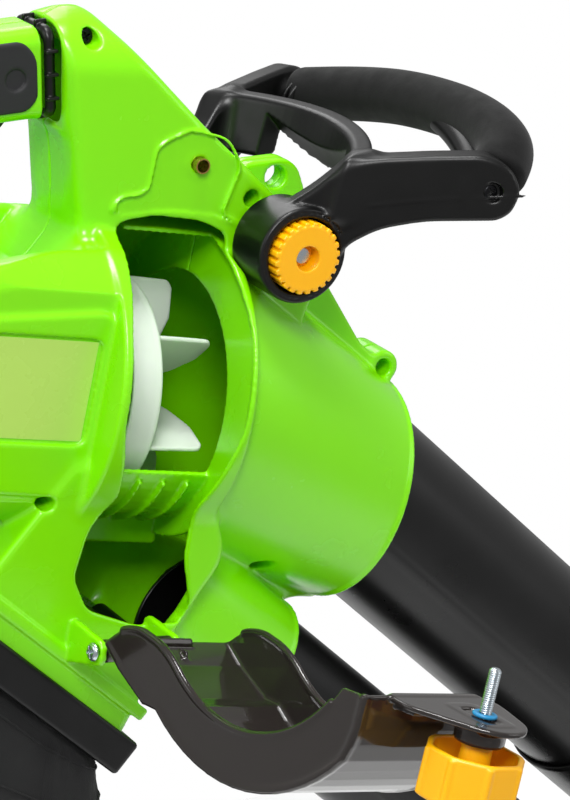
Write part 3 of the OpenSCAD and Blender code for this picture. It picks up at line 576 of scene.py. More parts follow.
def turned_profile(profile, origin, axis, steps=64):
    """Solid of revolution: profile of (along, radius) about an axis through origin."""
    axis = np.array(axis, float) / np.linalg.norm(axis)
    side = np.cross(axis, [0, 0, 1.0])
    if np.linalg.norm(side) < 1e-3:
        side = np.array([0, 1.0, 0])
    side = side / np.linalg.norm(side)
    up = np.cross(axis, side)
    angles = np.arange(steps) * 2 * math.pi / steps
    points, faces = [], []
    for along, radius in profile:
        for a in angles:
            points.append(np.array(origin) + axis * along + (side * math.cos(a) + up * math.sin(a)) * radius)
    for i in range(len(profile) - 1):
        for j in range(steps):
            k = (j + 1) % steps
            faces.append((i * steps + j, i * steps + k, (i + 1) * steps + k, (i + 1) * steps + j))
    return np.array(points), faces


def joined(parts):
    """Several (points, faces) as one."""
    points, faces, base = [], [], 0
    for p, f in parts:
        points.append(np.asarray(p))
        faces.extend([tuple(int(i) + base for i in one) for one in f])
        base += len(p)
    return np.concatenate(points), faces


# ------------------------------------------------------------------ green shells
SCREW_WELLS = [(-16.5, 192.5), (64, 103), (-37, 61), (-69, -29.5), (73, -105), (-150, 20), (-186, 160), (-100, -80)]
COLUMN = [(-28, 60), (-30, 150), (-33, 196), (-26, 206), (-11, 205), (17, 170.5), (42, 141), (62, 120), (88, 92),
          (110, 62), (90, 20), (-26, 20)]
CASING = fan_outline([(-165, -45), (-150, -60), (-20, -60), (-20, 83), (-66, 82), (-150, 63), (-165, 48)])
OUTLET = [(-150, -70), (-60, -12), (20, -12), (34, -80), (6, -112), (-24, -160), (-70, -230), (-180, -140)]
GRIP = [(-20, 120), (-20, 200), (-170, 200), (-192, 188), (-198, 160), (-188, 100), (-164, 60), (-60, 60)]
HAND_HOLE = [(-24, 153), (-148, 153), (-156, 145), (-156, 117), (-148, 105), (-60, 65), (-24, 100)]
WINDOW = fan_outline([(-30, 94), (-36, 50), (-36, 4), (-25, -38), (-34, -60), (-37, -84), (-26, -101), (4, -109),
                      (31, -107), (34, -98), (25, -72), (24, -42), (33, 4), (34, 50), (29, 95), (14, 100), (-12, 100)])
SEAT = [(-21, 78), (-9, 110.5), (8, 112), (14, 136), (31, 142.5), (50, 136), (57, 122), (46, 97), (56, 90), (60, 84)]
BOLT = fan(7, 0, 129)
HINGE = fan(-8, -95, -112)
HINGE_YAW, HINGE_LIFT, HINGE_LEN = math.radians(5), math.radians(2), 40.0
COVER_OPEN = math.radians(88)


def turn_y(a):
    return np.array([[math.cos(a), 0, math.sin(a)], [0, 1, 0], [-math.sin(a), 0, math.cos(a)]])


def turn_z(a):
    return np.array([[math.cos(a), -math.sin(a), 0], [math.sin(a), math.cos(a), 0], [0, 0, 1.0]])


def turn_x(a):
    return np.array([[1, 0, 0], [0, math.cos(a), -math.sin(a)], [0, math.sin(a), math.cos(a)]])


FAN = turn_y(FAN_PITCH)
TUBE = turn_y(TUBE_PITCH)
RIM_TURN = turn_y(RIM_PITCH)
HINGE_TURN = FAN @ turn_z(HINGE_YAW) @ turn_y(-HINGE_LIFT)
HANG_TURN = HINGE_TURN @ turn_x(COVER_OPEN) @ turn_z(-HINGE_YAW) @ turn_y(HINGE_LIFT)


def hung(points):
    """Points of the closed cover, in the motor's axes, where they hang once it is open."""
    return (np.asarray(points, float) - np.array([-8.0, -95.0, -112.0])) @ HANG_TURN.T + HINGE


def both(a, b, box=0):
    """What two shapes have in common, in the block of one of them."""
    pick = (a, b)[box]
    return (lambda x, y, z: np.maximum(a[0](x, y, z), b[0](x, y, z))), pick[1], pick[2]


def without(a, b):
    return (lambda x, y, z: np.maximum(a[0](x, y, z), -b[0](x, y, z))), a[1], a[2]


def face_y(x):
    """Half width of the column, which widens forward to the pivot of the front handle."""
    return 29 + 13 * np.clip((x + 32) / 92, 0, 1)


def column():
    flat_shape = soft_corners(COLUMN, 10)

    def field(x, y, z):
        flat = outline_distance(flat_shape, x, z)
        side = np.abs(y) - face_y(x)
        roof = 0.62 * (np.abs(y) - 10) + 0.78 * (z - 203.5)
        h = np.maximum(10 - np.abs(side - roof), 0) / 10
        return corner(flat, np.maximum(side, roof) + h * h * 2.5, 5.0)
    return field, np.array([-34.0, -42, 18]), np.array([112.0, 42, 208])


def drum(s0, s1, r, soft=0.0):
    return rod(fan(s0, CASE_Y, CASE_N), fan(s1, CASE_Y, CASE_N), r, None, soft)


def shell_outside(block):
    """The outer form of both shells together."""
    block.add(both(plate(CASING, -66, 66, soft=12, bend=16),
                   rod(fan(-167, 0, 10), fan(10, 0, 10), 86, None, 14)))
    block.add(plate(GRIP, -19, 19, soft=9, bend=18), 10)
    block.cut(plate(HAND_HOLE, -40, 40, bend=24), 9)
    block.add(column(), 12)
    block.add(drum(CASE_REAR, CASE_FRONT, CASE_R, 2.0), 4)
    front = fan(CASE_FRONT - 8, CASE_Y, CASE_N)
    block.add(loft(front, FAN[:, 0], CASE_R - 4.5, RIM, RIM_TURN[:, 0], RIM_R), 2.5)
    block.add(both(plate(OUTLET, -70, 14, soft=5, bend=12),
                   moved(brick([-28, -70, -142], [102, 14, 60], 3), TUBE, [0, 0, 0]), 1), 6)
    block.add(rod(tube(50, BLOW_Y, BLOW_W), tube(166, BLOW_Y, BLOW_W), 38.2, None, 1.5), 9)
    # web between the inlet and the socket of the blow tube
    web = [(130, -42), (165, -36), (172, -27), (184, -14), (197, -2), (150, 10)]
    block.add(plate(tube_outline(web), -9, 9, soft=2, bend=3), 12)
    # fin from the column down to the screw boss on the rim
    block.add(plate([(86, 90), (112, 62), (146, 2), (154, -6), (154, -30), (80, 20)], -14, 14, soft=2, bend=3), 3)


def seat_of_tab(block):
    """Raised lip round the seat of the cover's tab, on the slanted face of the column."""
    path = soft_corners(SEAT, 5)[6:-6]
    line = [(x, -face_y(x) - 0.2, z) for x, z in path]
    block.add(bead(line, 1.5), 1.6)
    inner = SEAT[1:-1] + [(44, 97), (20, 102), (-8, 103)]
    floor = plate(inner, -60, -20, bend=5)
    skin = (lambda x, y, z: y + face_y(x) - 1.0), floor[1], floor[2]
    block.cut(both(floor, skin), 1.0)


def housing_block():
    lo, hi, cell = [-212, -102, -206], [182, 96, 212], 1.1
    out = Block(lo, hi, cell)
    shell_outside(out)
    solid = out.d.copy()
    out.d = np.maximum(solid, -(solid + WALL))
    seat_of_tab(out)
    # the mouths of the inlet, the blow tube socket and the outlet are open
    out.cut(rod(RIM - RIM_TURN[:, 0] * 6, RIM + RIM_TURN[:, 0] * 30, RIM_R - WALL))
    out.cut(rod(tube(140, BLOW_Y, BLOW_W), tube(200, BLOW_Y, BLOW_W), 35.2))
    out.cut(moved(brick([-25.2, -67.2, -160], [99.2, 11.2, -120]), TUBE, [0, 0, 0]))
    angles = np.linspace(0, 2 * math.pi, 73)
    out.add(bead([RIM + RIM_TURN @ np.array([-0.5, (RIM_R - 0.4) * math.cos(a), (RIM_R - 0.4) * math.sin(a)])
                  for a in angles], 1.7), 1.0)
    out.add(bead([tube(165, BLOW_Y + 37.6 * math.cos(a), BLOW_W + 37.6 * math.sin(a))
                  for a in angles[::2]], 1.5), 1.0)
    # access opening, its edge softly rounded by the blended cut
    out.cut(plate(WINDOW, -160, -24, bend=5), 1.0)
    inner = Block(lo, hi, cell)
    inner.add(ring(fan(-39.5, CASE_Y, CASE_N), fan(-36.5, CASE_Y, CASE_N), CASE_R - 1, 11.2))
    inner.add(drum(34.2, 37, CASE_R - 1))
    inner.cut(rod(fan(30, 0, 0), fan(45, 0, 0), 63.5), 1.5)
    tongue = [(64.8 * math.cos(a), 64.8 * math.sin(a)) for a in np.radians(np.linspace(-155, -23, 26))]
    tongue += [(67.8 * math.cos(a), 67.8 * math.sin(a)) for a in np.radians(np.linspace(-23, -155, 26))]
    inner.add(moved(plate(tongue, -20, 36, axis=0), FAN, [0, 0, 0]), 1)
    sector = [(0, 0), (-200, -110), (-200, -260), (140, -200)]
    for s in (-6, 8, 22):
        rib = both(ring([s, 0, 0], [s + 2, 0, 0], 71, 66), plate(sector, s - 1, s + 3, axis=0))
        inner.add(moved(rib, FAN, [0, 0, 0]), 0.8)
    scroll = ring(fan(-22, CASE_Y, CASE_N), fan(37, CASE_Y, CASE_N), CASE_R - 0.4, CASE_R - WALL)
    inner.add(without(without(scroll, moved(brick([-60, -130, -130], [60, -14, -28]), FAN, [0, 0, 0])),
                      plate(WINDOW, -160, -24, bend=5)))
    inner.add(moved(brick([-22, -16.8, -82], [37, -14, -62]), FAN, [0, 0, 0]))
    inner.keep(solid + 0.8)
    out.d = np.minimum(out.d, inner.d)
    posts = Block(lo, hi, cell)
    for x, z in SCREW_WELLS:
        posts.add(rod([x, -95, z], [x, 60, z], 7.0))
    posts.add(rod([PIVOT[0], -60, PIVOT[2]], [PIVOT[0], 60, PIVOT[2]], 12))
    posts.add(rod([BOLT[0], -60, BOLT[2]], [BOLT[0], -20, BOLT[2]], 8))
    posts.keep(solid + 0.8)
    out.d = np.minimum(out.d, posts.d)
    for x, z in SCREW_WELLS:
        out.cut(rod([x, -130, z], [x, -14, z], 4.6), 1.4)
    out.cut(rod([BOLT[0], -60, BOLT[2]], [BOLT[0], -30, BOLT[2]], 3.9), 0.8)
    # lug of the shoulder strap
    out.add(plate([(66, 78), (118, 58), (117, 84), (111, 104), (104, 110), (74, 111)], -7, 7, soft=1.5, bend=10), 2)
    out.cut(rod([97, -10, 101], [97, 10, 101], 6.2), 1)
    # boss on top of the inlet rim
    out.add(rod([160, -14, -14.5], [160, 14, -14.5], 9.5, None, 1.5), 4)
    out.cut(rod([160, -40, -14.5], [160, -2, -14.5], 4.8), 1)
    # lugs of the cover hinge
    for x0 in (-HINGE_LEN / 2 - 4.4, HINGE_LEN / 2 + 0.4):
        lug = plate([(-6, -6), (27.5, -16), (27.5, 8), (-4, 6)], x0, x0 + 4, soft=0.8, bend=5, axis=0)
        out.add(moved(lug, HINGE_TURN, HINGE), 2)
        out.cut(moved(rod([x0 - 2, 0, 0], [x0 + 6, 0, 0], 2.7), HINGE_TURN, HINGE))
    out.cut(moved(rod([-20.3, 0, 0], [20.3, 0, 0], 8.5), HINGE_TURN, HINGE), 1)
    # room for the hubs of the front handle, the collar's groove, trigger and dial
    for side in (-1, 1):
        out.cut(rod([PIVOT[0], side * 42.2, PIVOT[2]], [PIVOT[0], side * 90, PIVOT[2]], 25.5), 1)
    collar = brick([-42, -30, 148], [-32.6, 30, 215])
    core = brick([-44, -16, 156], [-30, 16, 196], 6)
    out.cut(without(collar, core), 0.6)
    out.cut(brick([-85, -8, 148], [-49, 8, 158], 1), 1)
    out.cut(brick([-109, -6, 194], [-81, 6, 206], 1), 1)
    # raised strip beside the bag collar, and cooling slots in the tail
    strip = brick([-26, -72.0, -128], [100, -69, -121], 1.2)
    out.add(moved(strip, TUBE, [0, 0, 0]), 2)
    for i in range(-3, 4):
        out.cut(moved(brick([-172, i * 12 - 2.5, -25], [-155, i * 12 + 2.5, 25], 1.5), FAN, [0, 0, 0]), 0.8)
    # shallow step round the motor bulge
    bulge = fan_outline([(-160, -40), (-40, -42), (-36, 46), (-44, 56), (-160, 44)])
    out.add(both(plate(bulge, -68.6, -60, soft=2.2, bend=14), plate(bulge, -75, -50)), 3)
    label = fan_outline([(-107, -14), (-45, -14), (-45, 42), (-107, 42)])
    out.cut(plate(label, -80, -66.2, bend=7), 0.8)
    return out


HOUSING = housing_block()


def half_shell(side):
    half = HOUSING.copy()
    y = (half.lo[1] + np.arange(half.d.shape[1]) * half.cell).reshape(1, -1, 1)
    half.d = np.maximum(half.d, (y * side * -1 + 0.15).astype(np.float32))
    return half


from_block("right_shell", half_shell(-1), "housing_green", "housing", ["right_housing"])
from_block("left_shell", half_shell(1), "housing_green", "housing", ["left_housing"])
del HOUSING


# ------------------------------------------------------------------ impeller
def impeller():
    wheel = Block([-18, -62, -62], [36, 62, 62], 0.8)
    wheel.add(rod([-3, 0, 0], [0, 0, 0], 59, None, 0.8))
    wheel.add(ring([-17, 0, 0], [-1, 0, 0], 59, 57.2, 0.4), 1)
    wheel.add(rod([-12, 0, 0], [17, 0, 0], 11, None, 1.5), 3)
    blade = [(-1, 9), (14, 9), (26, 22), (33, 37), (33, 53), (30, 57), (-1, 58)]
    for i in range(6):
        a = math.radians(i * 60 + 48)
        turn = turn_x(a)
        wheel.add(moved(plate(blade, -1.2, 1.2, soft=0.5, bend=3), turn, [0, 0, 0]), 1.5)
    for i in range(24):
        rib = brick([-11.5, -0.8, 40 if i % 2 else 12], [-1, 0.8, 58])
        wheel.add(moved(rib, turn_x(math.radians(i * 15)), [0, 0, 0]), 0.6)
    wheel.cut(rod([-20, 0, 0], [20, 0, 0], 5.2))
    return wheel


from_block("impeller_wheel", impeller(), "impeller_white", "rotor", ["impeller"], turn=lambda p: p @ FAN.T)


# ------------------------------------------------------------------ front handle
ARM = [(-6, -18), (8, -22), (25, -5), (31, 3), (46, 11), (69, 15), (107, 15), (114, 19), (119, 30), (115, 41), (108, 47),
       (99, 50), (74, 50), (43, 49), (26, 44), (14, 34), (-8, 20)]


def front_handle():
    out = Block([50, -125, 48], [200, 125, 145], 0.95)
    splay = math.atan2(48, 92)
    for side in (-1, 1):
        arm = plate(ARM, -7, 7, soft=2.8, bend=9)
        place = turn_z(-splay) if side < 0 else np.diag([1.0, -1.0, 1.0]) @ turn_z(-splay)
        out.add(moved(arm, place, [PIVOT[0], side * 57.5, PIVOT[2]]), 3)
        out.add(rod([PIVOT[0], side * 42.6, PIVOT[2]], [PIVOT[0], side * 74.2, PIVOT[2]], 25.4, None, 2.6), 1.5)
    # arched brace: a band that leans forward, blended into both arms
    outer = [(136.5 - 0.0045 * y * y, y) for y in np.linspace(-76, 76, 25)]
    inner = [(x - 11 - 0.0006 * y * y, y) for x, y in outer][::-1]
    band = plate(outer + inner, -15, 16, soft=2.6, axis=2)

    def leaning(x, y, z):
        return band[0](x - 0.3 * (z - 112), y, z - 112)
    out.add((leaning, band[1] + [-6, 0, 112], band[2] + [6, 0, 112]), 9)
    # seats of the foam's bar and screw wells at the ends of the arms
    for side in (-1, 1):
        end = np.array([165.0, side * 104.0, 109.5])
        out.add(rod(end, end - [0, side * 16.0, -1.0], 12.5, None, 3), 6)
        out.cut(rod(end + [0, side * 6.0, 0], end + [0, side * 30.0, 0], 5.2), 1)
        for i in (0, 1):
            groove = end - [0, side * (17.5 + 4 * i), -2.0]
            out.add(rod(groove, groove - [0, side * 2.0, 0], 13.2 - i, None, 0.9), 0.6)
        out.cut(rod([PIVOT[0], side * 65.5, PIVOT[2]], [PIVOT[0], side * 100, PIVOT[2]], 20.2), 1.2)
        # shallow round groove in the hub's face
        out.cut(ring([PIVOT[0], side * 73.6, PIVOT[2]], [PIVOT[0], side * 76, PIVOT[2]], 23.2, 22.6), 0.4)
        # parting line along the arm
        line = [(PIVOT[0] + u * math.cos(splay), side * (64.3 + u * math.sin(splay)), 79 + v)
                for u, v in ((36, 24), (60, 26.5), (90, 28), (117, 28.6))]
        line = [(x, side * (abs(y) + 0.5), z) for x, y, z in line]
        out.add(bead(line, 0.75), 0.8)
    out.cut(rod([PIVOT[0], -42.5, PIVOT[2]], [PIVOT[0], 42.5, PIVOT[2]], 60))
    out.cut(rod([PIVOT[0], -100, PIVOT[2]], [PIVOT[0], 100, PIVOT[2]], 4.2))
    return out


from_block("front_handle_frame", front_handle(), "black_plastic", "front_handle", ["front_handle"])


def foam_path(steps):
    """Middle line of the foam grip, from the near arm to the far one, bowed forward and up."""
    marks = np.array([(174, -101, 114), (188, -91, 123), (193.5, -66, 127.5), (195, -36, 129), (193, -6, 128),
                      (190, 20, 126), (185, 44, 122.5), (178, 67, 118.5), (168.5, 94, 113)], float)
    at = np.linspace(0, len(marks) - 1, 240)
    line = np.stack([np.interp(at, np.arange(len(marks)), marks[:, i]) for i in range(3)], 1)
    for _ in range(260):
        line[1:-1] = (line[:-2] + 2 * line[1:-1] + line[2:]) / 4
    pick = np.linspace(0, 239, steps)
    return np.stack([np.interp(pick, np.arange(240), line[:, i]) for i in range(3)], 1)


def sleeve(path, radii, steps=40, caps=True, wobble=0.0, seed=3):
    """Round sleeve swept along a path; caps close its ends."""
    rng = np.random.default_rng(seed)
    tangent = np.gradient(path, axis=0)
    tangent /= np.linalg.norm(tangent, axis=1)[:, None]
    up = np.array([0.0, 0.0, 1.0])
    points, faces = [], []
    for i, (p, t) in enumerate(zip(path, tangent)):
        a = np.cross(t, up)
        a /= np.linalg.norm(a)
        b = np.cross(a, t)
        for k in range(steps):
            w = 2 * math.pi * k / steps
            r = radii[i] * (1 + wobble * (rng.random() - 0.5))
            points.append(p + (a * math.cos(w) + b * math.sin(w)) * r)
    n = len(path)
    for i in range(n - 1):
        for k in range(steps):
            m = (k + 1) % steps
            faces.append((i * steps + k, i * steps + m, (i + 1) * steps + m, (i + 1) * steps + k))
    if caps:
        faces.append(tuple(range(steps))[::-1])
        faces.append(tuple((n - 1) * steps + k for k in range(steps)))
    return np.array(points), faces


def foam_grip():
    path = foam_path(90)
    where = np.linspace(-1, 1, 90)
    radii = 15.0 - 2.6 * np.clip((np.abs(where) - 0.965) / 0.035, 0, 1) ** 2
    points, faces = sleeve(path, radii, 56)
    made = piece("foam_sleeve", points, faces, "foam", "front_handle", ["foam_grip"])


foam_grip()


# ------------------------------------------------------------------ knobs, screws and bolts
def handle_knob():
    """Toothed clamping knob with a square-cut socket for the nut in its middle."""
    out = Block([-20, -20, -2], [20, 20, 16], 0.5)
    out.add(rod([0, 0, 0], [0, 0, 13.2], 17.4, 17.2, 0.8))
    for i in range(24):
        a = 2 * math.pi * i / 24
        tooth = brick([15.5, -1.5, 0.4], [18.9, 1.5, 13.0], 0.5)
        out.add(moved(tooth, turn_z(a), [0, 0, 0]), 0.6)
    out.cut(rod([0, 0, 4], [0, 0, 20], 6.6), 0.8)
    out.cut(rod([0, 0, -5], [0, 0, 20], 4.1))
    turn = np.array([[1, 0, 0], [0, 0, -1], [0, 1, 0]], float)
    return out, lambda p: p @ turn.T + [PIVOT[0], -65.9, PIVOT[2]]


knob, knob_place = handle_knob()
from_block("handle_knob_yellow", knob, "knob_yellow", "handle_knob", ["handle_knob"], turn=knob_place)


def cover_knob():
    """Eight-sided cup knob, open towards the cover, with the bolt's stem inside."""
    out = Block([-30, -30, -34], [30, 30, 8], 0.6)
    eight = [(25 / math.cos(math.pi / 8) * math.cos(a), 25 / math.cos(math.pi / 8) * math.sin(a))
             for a in np.radians(np.arange(8) * 45 + 22.5)]
    out.add(plate(eight, -27, 0, soft=1.6, bend=5, axis=2))
    hollow = [(0.87 * x, 0.87 * y) for x, y in eight]
    out.cut(plate(hollow, -24.5, 4, bend=4, axis=2), 1.0)
    out.add(rod([0, 0, -26], [0, 0, 3.4], 9, 8, 0.8), 1.5)
    for i in range(8):
        a = math.radians(i * 45 + 22.5)
        out.add(rod([25.2 * math.cos(a), 25.2 * math.sin(a), -26], [25.2 * math.cos(a), 25.2 * math.sin(a), -1.5],
                    2.0, None, 0.8), 1.2)
    turn = np.array([[1, 0, 0], [0, 0, 1], [0, -1, 0]], float)
    return out, lambda p: hung(0.9 * p @ turn.T + [7, -59.5, 129])


knob, knob_place = cover_knob()
from_block("cover_knob_yellow", knob, "knob_yellow", "cover_knob", ["cover_knob"], turn=knob_place)


def cross_head(r, high, dome=0.35):
    """Round screw head with a cross recess, its top towards +Z and its underside at 0."""
    out = Block([-r - 1, -r - 1, -1], [r + 1, r + 1, high + 1], 0.16 if r < 5 else 0.22)
    out.add(rod([0, 0, 0], [0, 0, high], r, None, min(high * dome, r * 0.5)))
    for a in (0, math.pi / 2):
        arm = brick([-r * 0.62, -r * 0.14, high * 0.35], [r * 0.62, r * 0.14, high + 2], 0.05)
        out.cut(moved(arm, turn_z(a + 0.4), [0, 0, 0]), 0.15)
    return out.mesh()


def hex_nut(across, high, hole):
    out = Block([-across, -across, -1], [across, across, high + 1], 0.25)
    r = across / 2 / math.cos(math.pi / 6)
    six = [(r * math.cos(a), r * math.sin(a)) for a in np.radians(np.arange(6) * 60)]
    out.add(both(plate(six, 0, high, soft=0.3, axis=2), rod([0, 0, 0], [0, 0, high], r * 0.98, None, 0.9)))
    out.cut(rod([0, 0, -2], [0, 0, high + 2], hole))
    return out.mesh()


def threaded(length, r, pitch=1.0):
    """Bolt shank along +Z with a cut thread and a chamfered end."""
    rows, steps = int(length / pitch * 10), 28
    points, faces = [], []
    for i in range(rows + 1):
        z = i * length / rows
        for k in range(steps):
            a = 2 * math.pi * k / steps
            cut = abs(((z / pitch - k / steps) % 1.0) - 0.5) * 2
            size = r - 0.5 * pitch * (1 - cut) * 0.9
            size = min(size, r - 1.2 + (length - z))
            points.append((size * math.cos(a), size * math.sin(a), z))
    for i in range(rows):
        for k in range(steps):
            m = (k + 1) % steps
            faces.append((i * steps + k, i * steps + m, (i + 1) * steps + m, (i + 1) * steps + k))
    faces.append(tuple(range(steps))[::-1])
    faces.append(tuple(rows * steps + k for k in range(steps)))
    return np.array(points), faces


OUT_RIGHT = np.array([[1, 0, 0], [0, 0, -1], [0, 1, 0]], float)      # +Z of a screw to the right side
OUT_LEFT = np.array([[1, 0, 0], [0, 0, 1], [0, -1, 0]], float)

head, head_faces = cross_head(4.0, 2.6)
shank, shank_faces = turned_profile([(0, 0.01), (0, 2), (-24, 2), (-26, 0.6)], [0, 0, 0.4], [0, 0, 1], 16)
wells = joined([(head @ OUT_RIGHT.T + [x, -14, z], head_faces) for x, z in SCREW_WELLS]
               + [(shank @ OUT_RIGHT.T + [x, -14, z], shank_faces) for x, z in SCREW_WELLS])
piece("shell_screws", *wells, "black_screw", "housing", ["housing_screws"])
ends = joined([(head @ OUT_RIGHT.T + [165, -108, 109.5], head_faces),
               (head @ OUT_LEFT.T + [165, 108, 109.5], head_faces)])
piece("arm_screws", *ends, "black_screw", "front_handle", ["grip_screws"])

pan, pan_faces = cross_head(5.0, 3.4, 0.9)
along = np.array([[0, 0, -1], [0, 1, 0], [1, 0, 0]], float)
shaft = turned_profile([(-22.5, 0.01), (-22.5, 2.45), (28.6, 2.45), (29, 2.0), (29, 0.01)], [0, 0, 0], [1, 0, 0], 24)
pin = joined([(pan @ along.T + [-24.8, 0, 0], pan_faces), shaft])
piece("cover_hinge_screw", pin[0] @ HINGE_TURN.T + HINGE, pin[1], "zinc_steel", "housing", ["hinge_screw"])
nut, nut_faces = hex_nut(8, 3.6, 2.5)
forward = np.array([[0, 0, 1], [0, 1, 0], [-1, 0, 0]], float)
piece("cover_hinge_nut", (nut @ forward.T + [24.8, 0, 0]) @ HINGE_TURN.T + HINGE, nut_faces, "zinc_steel", "housing",
      ["hinge_nut"])
bolt, bolt_faces = threaded(45.4, 3.0)
turn = np.array([[1, 0, 0], [0, 0, 1], [0, -1, 0]], float)
piece("cover_bolt_threaded", hung(bolt @ turn.T + [7, -65.5, 129]), bolt_faces, "zinc_steel", "cover_knob",
      ["cover_bolt"])
lock = turned_profile([(0, 3.1), (0, 5.4), (0.5, 5.9), (1.3, 5.9), (1.8, 5.3), (1.8, 3.1), (0, 3.1)], [7, -43.2, 129],
                      [0, 1, 0], 32)
piece("lock_ring", hung(lock[0]), lock[1], "blue_lock", "access_cover", ["cover_washer"])


# ------------------------------------------------------------------ smoky cover
def arc(t):
    top = [(-44, 101 - t), (-60, 100.5 - t), (-69, 98.5 - t)]
    return top + [(-8 - (109.8 - t) * math.cos(math.radians(a)), 10 + (109.8 - t) * math.sin(math.radians(a)))
                  for a in np.arange(51, -30.1, -5.4)]


def cover():
    out = Block([-48, -124, -124], [48, -36, 156], 0.85)
    low = [(-104, -56), (-95, -80), (-87, -95)]
    low_in = [(-84.4, -95), (-92.4, -79), (-101.4, -55)]
    s0, s1 = CASE_REAR - 0.5, CASE_FRONT + 0.5
    out.add(plate(arc(0) + low + low_in + arc(2.6)[::-1], s0, s1, soft=1.0, axis=0))
    rim = [(-83, -93), (-75, -84), (-71, -70), (-72.5, -52)]
    case = [(-5 - 86.6 * math.cos(math.radians(a)), 8 + 86.6 * math.sin(math.radians(a))) for a in range(-34, 63, 8)]
    for a, b in ((s0, s0 + 2.6), (s1 - 2.6, s1)):
        out.add(plate(arc(0) + low + rim + case, a, b, soft=0.9, axis=0), 2.5)
        # bead along the edge that seats on the opening's lip
        out.add(bead([((a + b) / 2, y, n) for y, n in soft_corners(rim + case, 6)[8:-8]], 1.9), 1.2)
    tab = [(-26, 96), (-27, 113), (-10, 141), (0, 151), (14, 151), (24, 141), (32, 113), (31, 96)]
    out.add(plate(tab, -46.2, -43.6, soft=0.9, bend=6), 2)
    slot = [(2.6, 116), (11.4, 116), (11.4, 138), (2.6, 138)]
    out.add(plate([(-2.5, 110), (16.5, 110), (16.5, 143), (-2.5, 143)], -48.4, -43.6, soft=0.8, bend=6), 1)
    out.cut(plate(slot, -60, -30, bend=3.6))
    out.add(ring([7, -55.5, 129], [7, -44, 129], 12, 3.2, 1.2), 0.8)
    out.cut(rod([7, -60, 129], [7, -30, 129], 3.15))
    # hinge barrel with its web, let into the green lugs
    to_local = np.array([-8.0, -95.0, -112.0])
    barrel = turn_z(HINGE_YAW) @ turn_y(-HINGE_LIFT)
    out.add(moved(rod([-20, 0, 0], [20, 0, 0], 6, None, 0.8), barrel, to_local), 2)
    web = [(-85, -90), (-88.4, -96), (-99, -108), (-94, -114), (-89, -107), (-82, -92)]
    out.add(plate(web, -26, 10, soft=0.6, axis=0), 2)
    for s in (-20, -9, 2):
        out.add(plate([(-86, -84), (-96, -80), (-99, -106), (-92, -108)], s - 0.8, s + 0.8, axis=0), 1)
    out.cut(moved(rod([-60, 0, 0], [60, 0, 0], 2.6), barrel, to_local))
    pivot_s = 76 * math.cos(FAN_PITCH) - 79 * math.sin(FAN_PITCH)
    pivot_n = 76 * math.sin(FAN_PITCH) + 79 * math.cos(FAN_PITCH)
    out.cut(rod([pivot_s, -200, pivot_n], [pivot_s, 0, pivot_n], 27.5), 2)
    # window-shaped step pressed into the end wall
    out.add(plate([(-24, 99), (-20, 112), (24, 112), (29, 99)], -49.5, -46, soft=0.6), 0.6)
    return out


from_block("smoky_cover", cover(), "smoke_clear", "access_cover", ["access_cover"], turn=hung)


# ------------------------------------------------------------------ tubes
def long_tube(name, r, t0, t1, y, w, swage, stands_for, slant=0.0):
    """Moulded tube with a socket ring, two seams on opposite sides and a rounded mouth."""
    steps, rows = 128, 90
    points, faces = [], []
    outer = []
    for i in range(rows + 1):
        t = t0 + (t1 - t0) * i / rows
        size = r
        if swage:
            size += 2.5 * (1 - np.clip((t - swage) / 8.0, 0, 1)) if t < swage + 8 else 0.0
        outer.append((t, size))
    profile = outer + [(t1 - 0.2, r - 0.6), (t1, r - 1.2), (t1, r - 2.0)]
    profile += [(t1 - 30, r - 2.0), (t0 + 1, r - 2.0), (t0, r - 2.0)]
    for t, size in profile:
        for k in range(steps):
            a = 2 * math.pi * k / steps
            seam = 0.9 * math.exp(-((min(abs(a - s) for s in (math.radians(200), math.radians(20))) * r / 1.6) ** 2))
            rib = 0.6 * math.exp(-((min(abs(a - s) for s in (math.radians(193), math.radians(13))) * r) ** 2))
            out = size + (seam + rib if size > r - 0.7 else 0)
            u, v = out * math.cos(a), out * math.sin(a)
            cut = 0.0
            if slant and t > t1 - 40:
                cut = -(r + v) * slant * (t - (t1 - 40)) / 40
            points.append(tube(t + cut, y + u, w + v))
    for i in range(len(profile)):
        j = (i + 1) % len(profile)
        for k in range(steps):
            m = (k + 1) % steps
            faces.append((i * steps + k, i * steps + m, j * steps + m, j * steps + k))
    piece(name, points, faces, "tube_black", "housing", stands_for)


long_tube("suction_tube_upper", 50, 118, 438, 0, SUCTION_W, 0, ["upper_suction_tube"])
long_tube("suction_tube_lower", 52.5, 393, 758, 0, SUCTION_W, 0, ["lower_suction_tube"], slant=0.7)
long_tube("blow_tube_upper", 34, 112, 392, BLOW_Y, BLOW_W, 0, ["upper_blow_tube"])
long_tube("blow_tube_lower", 36.5, 347, 672, BLOW_Y, BLOW_W, 0, ["lower_blow_tube"])


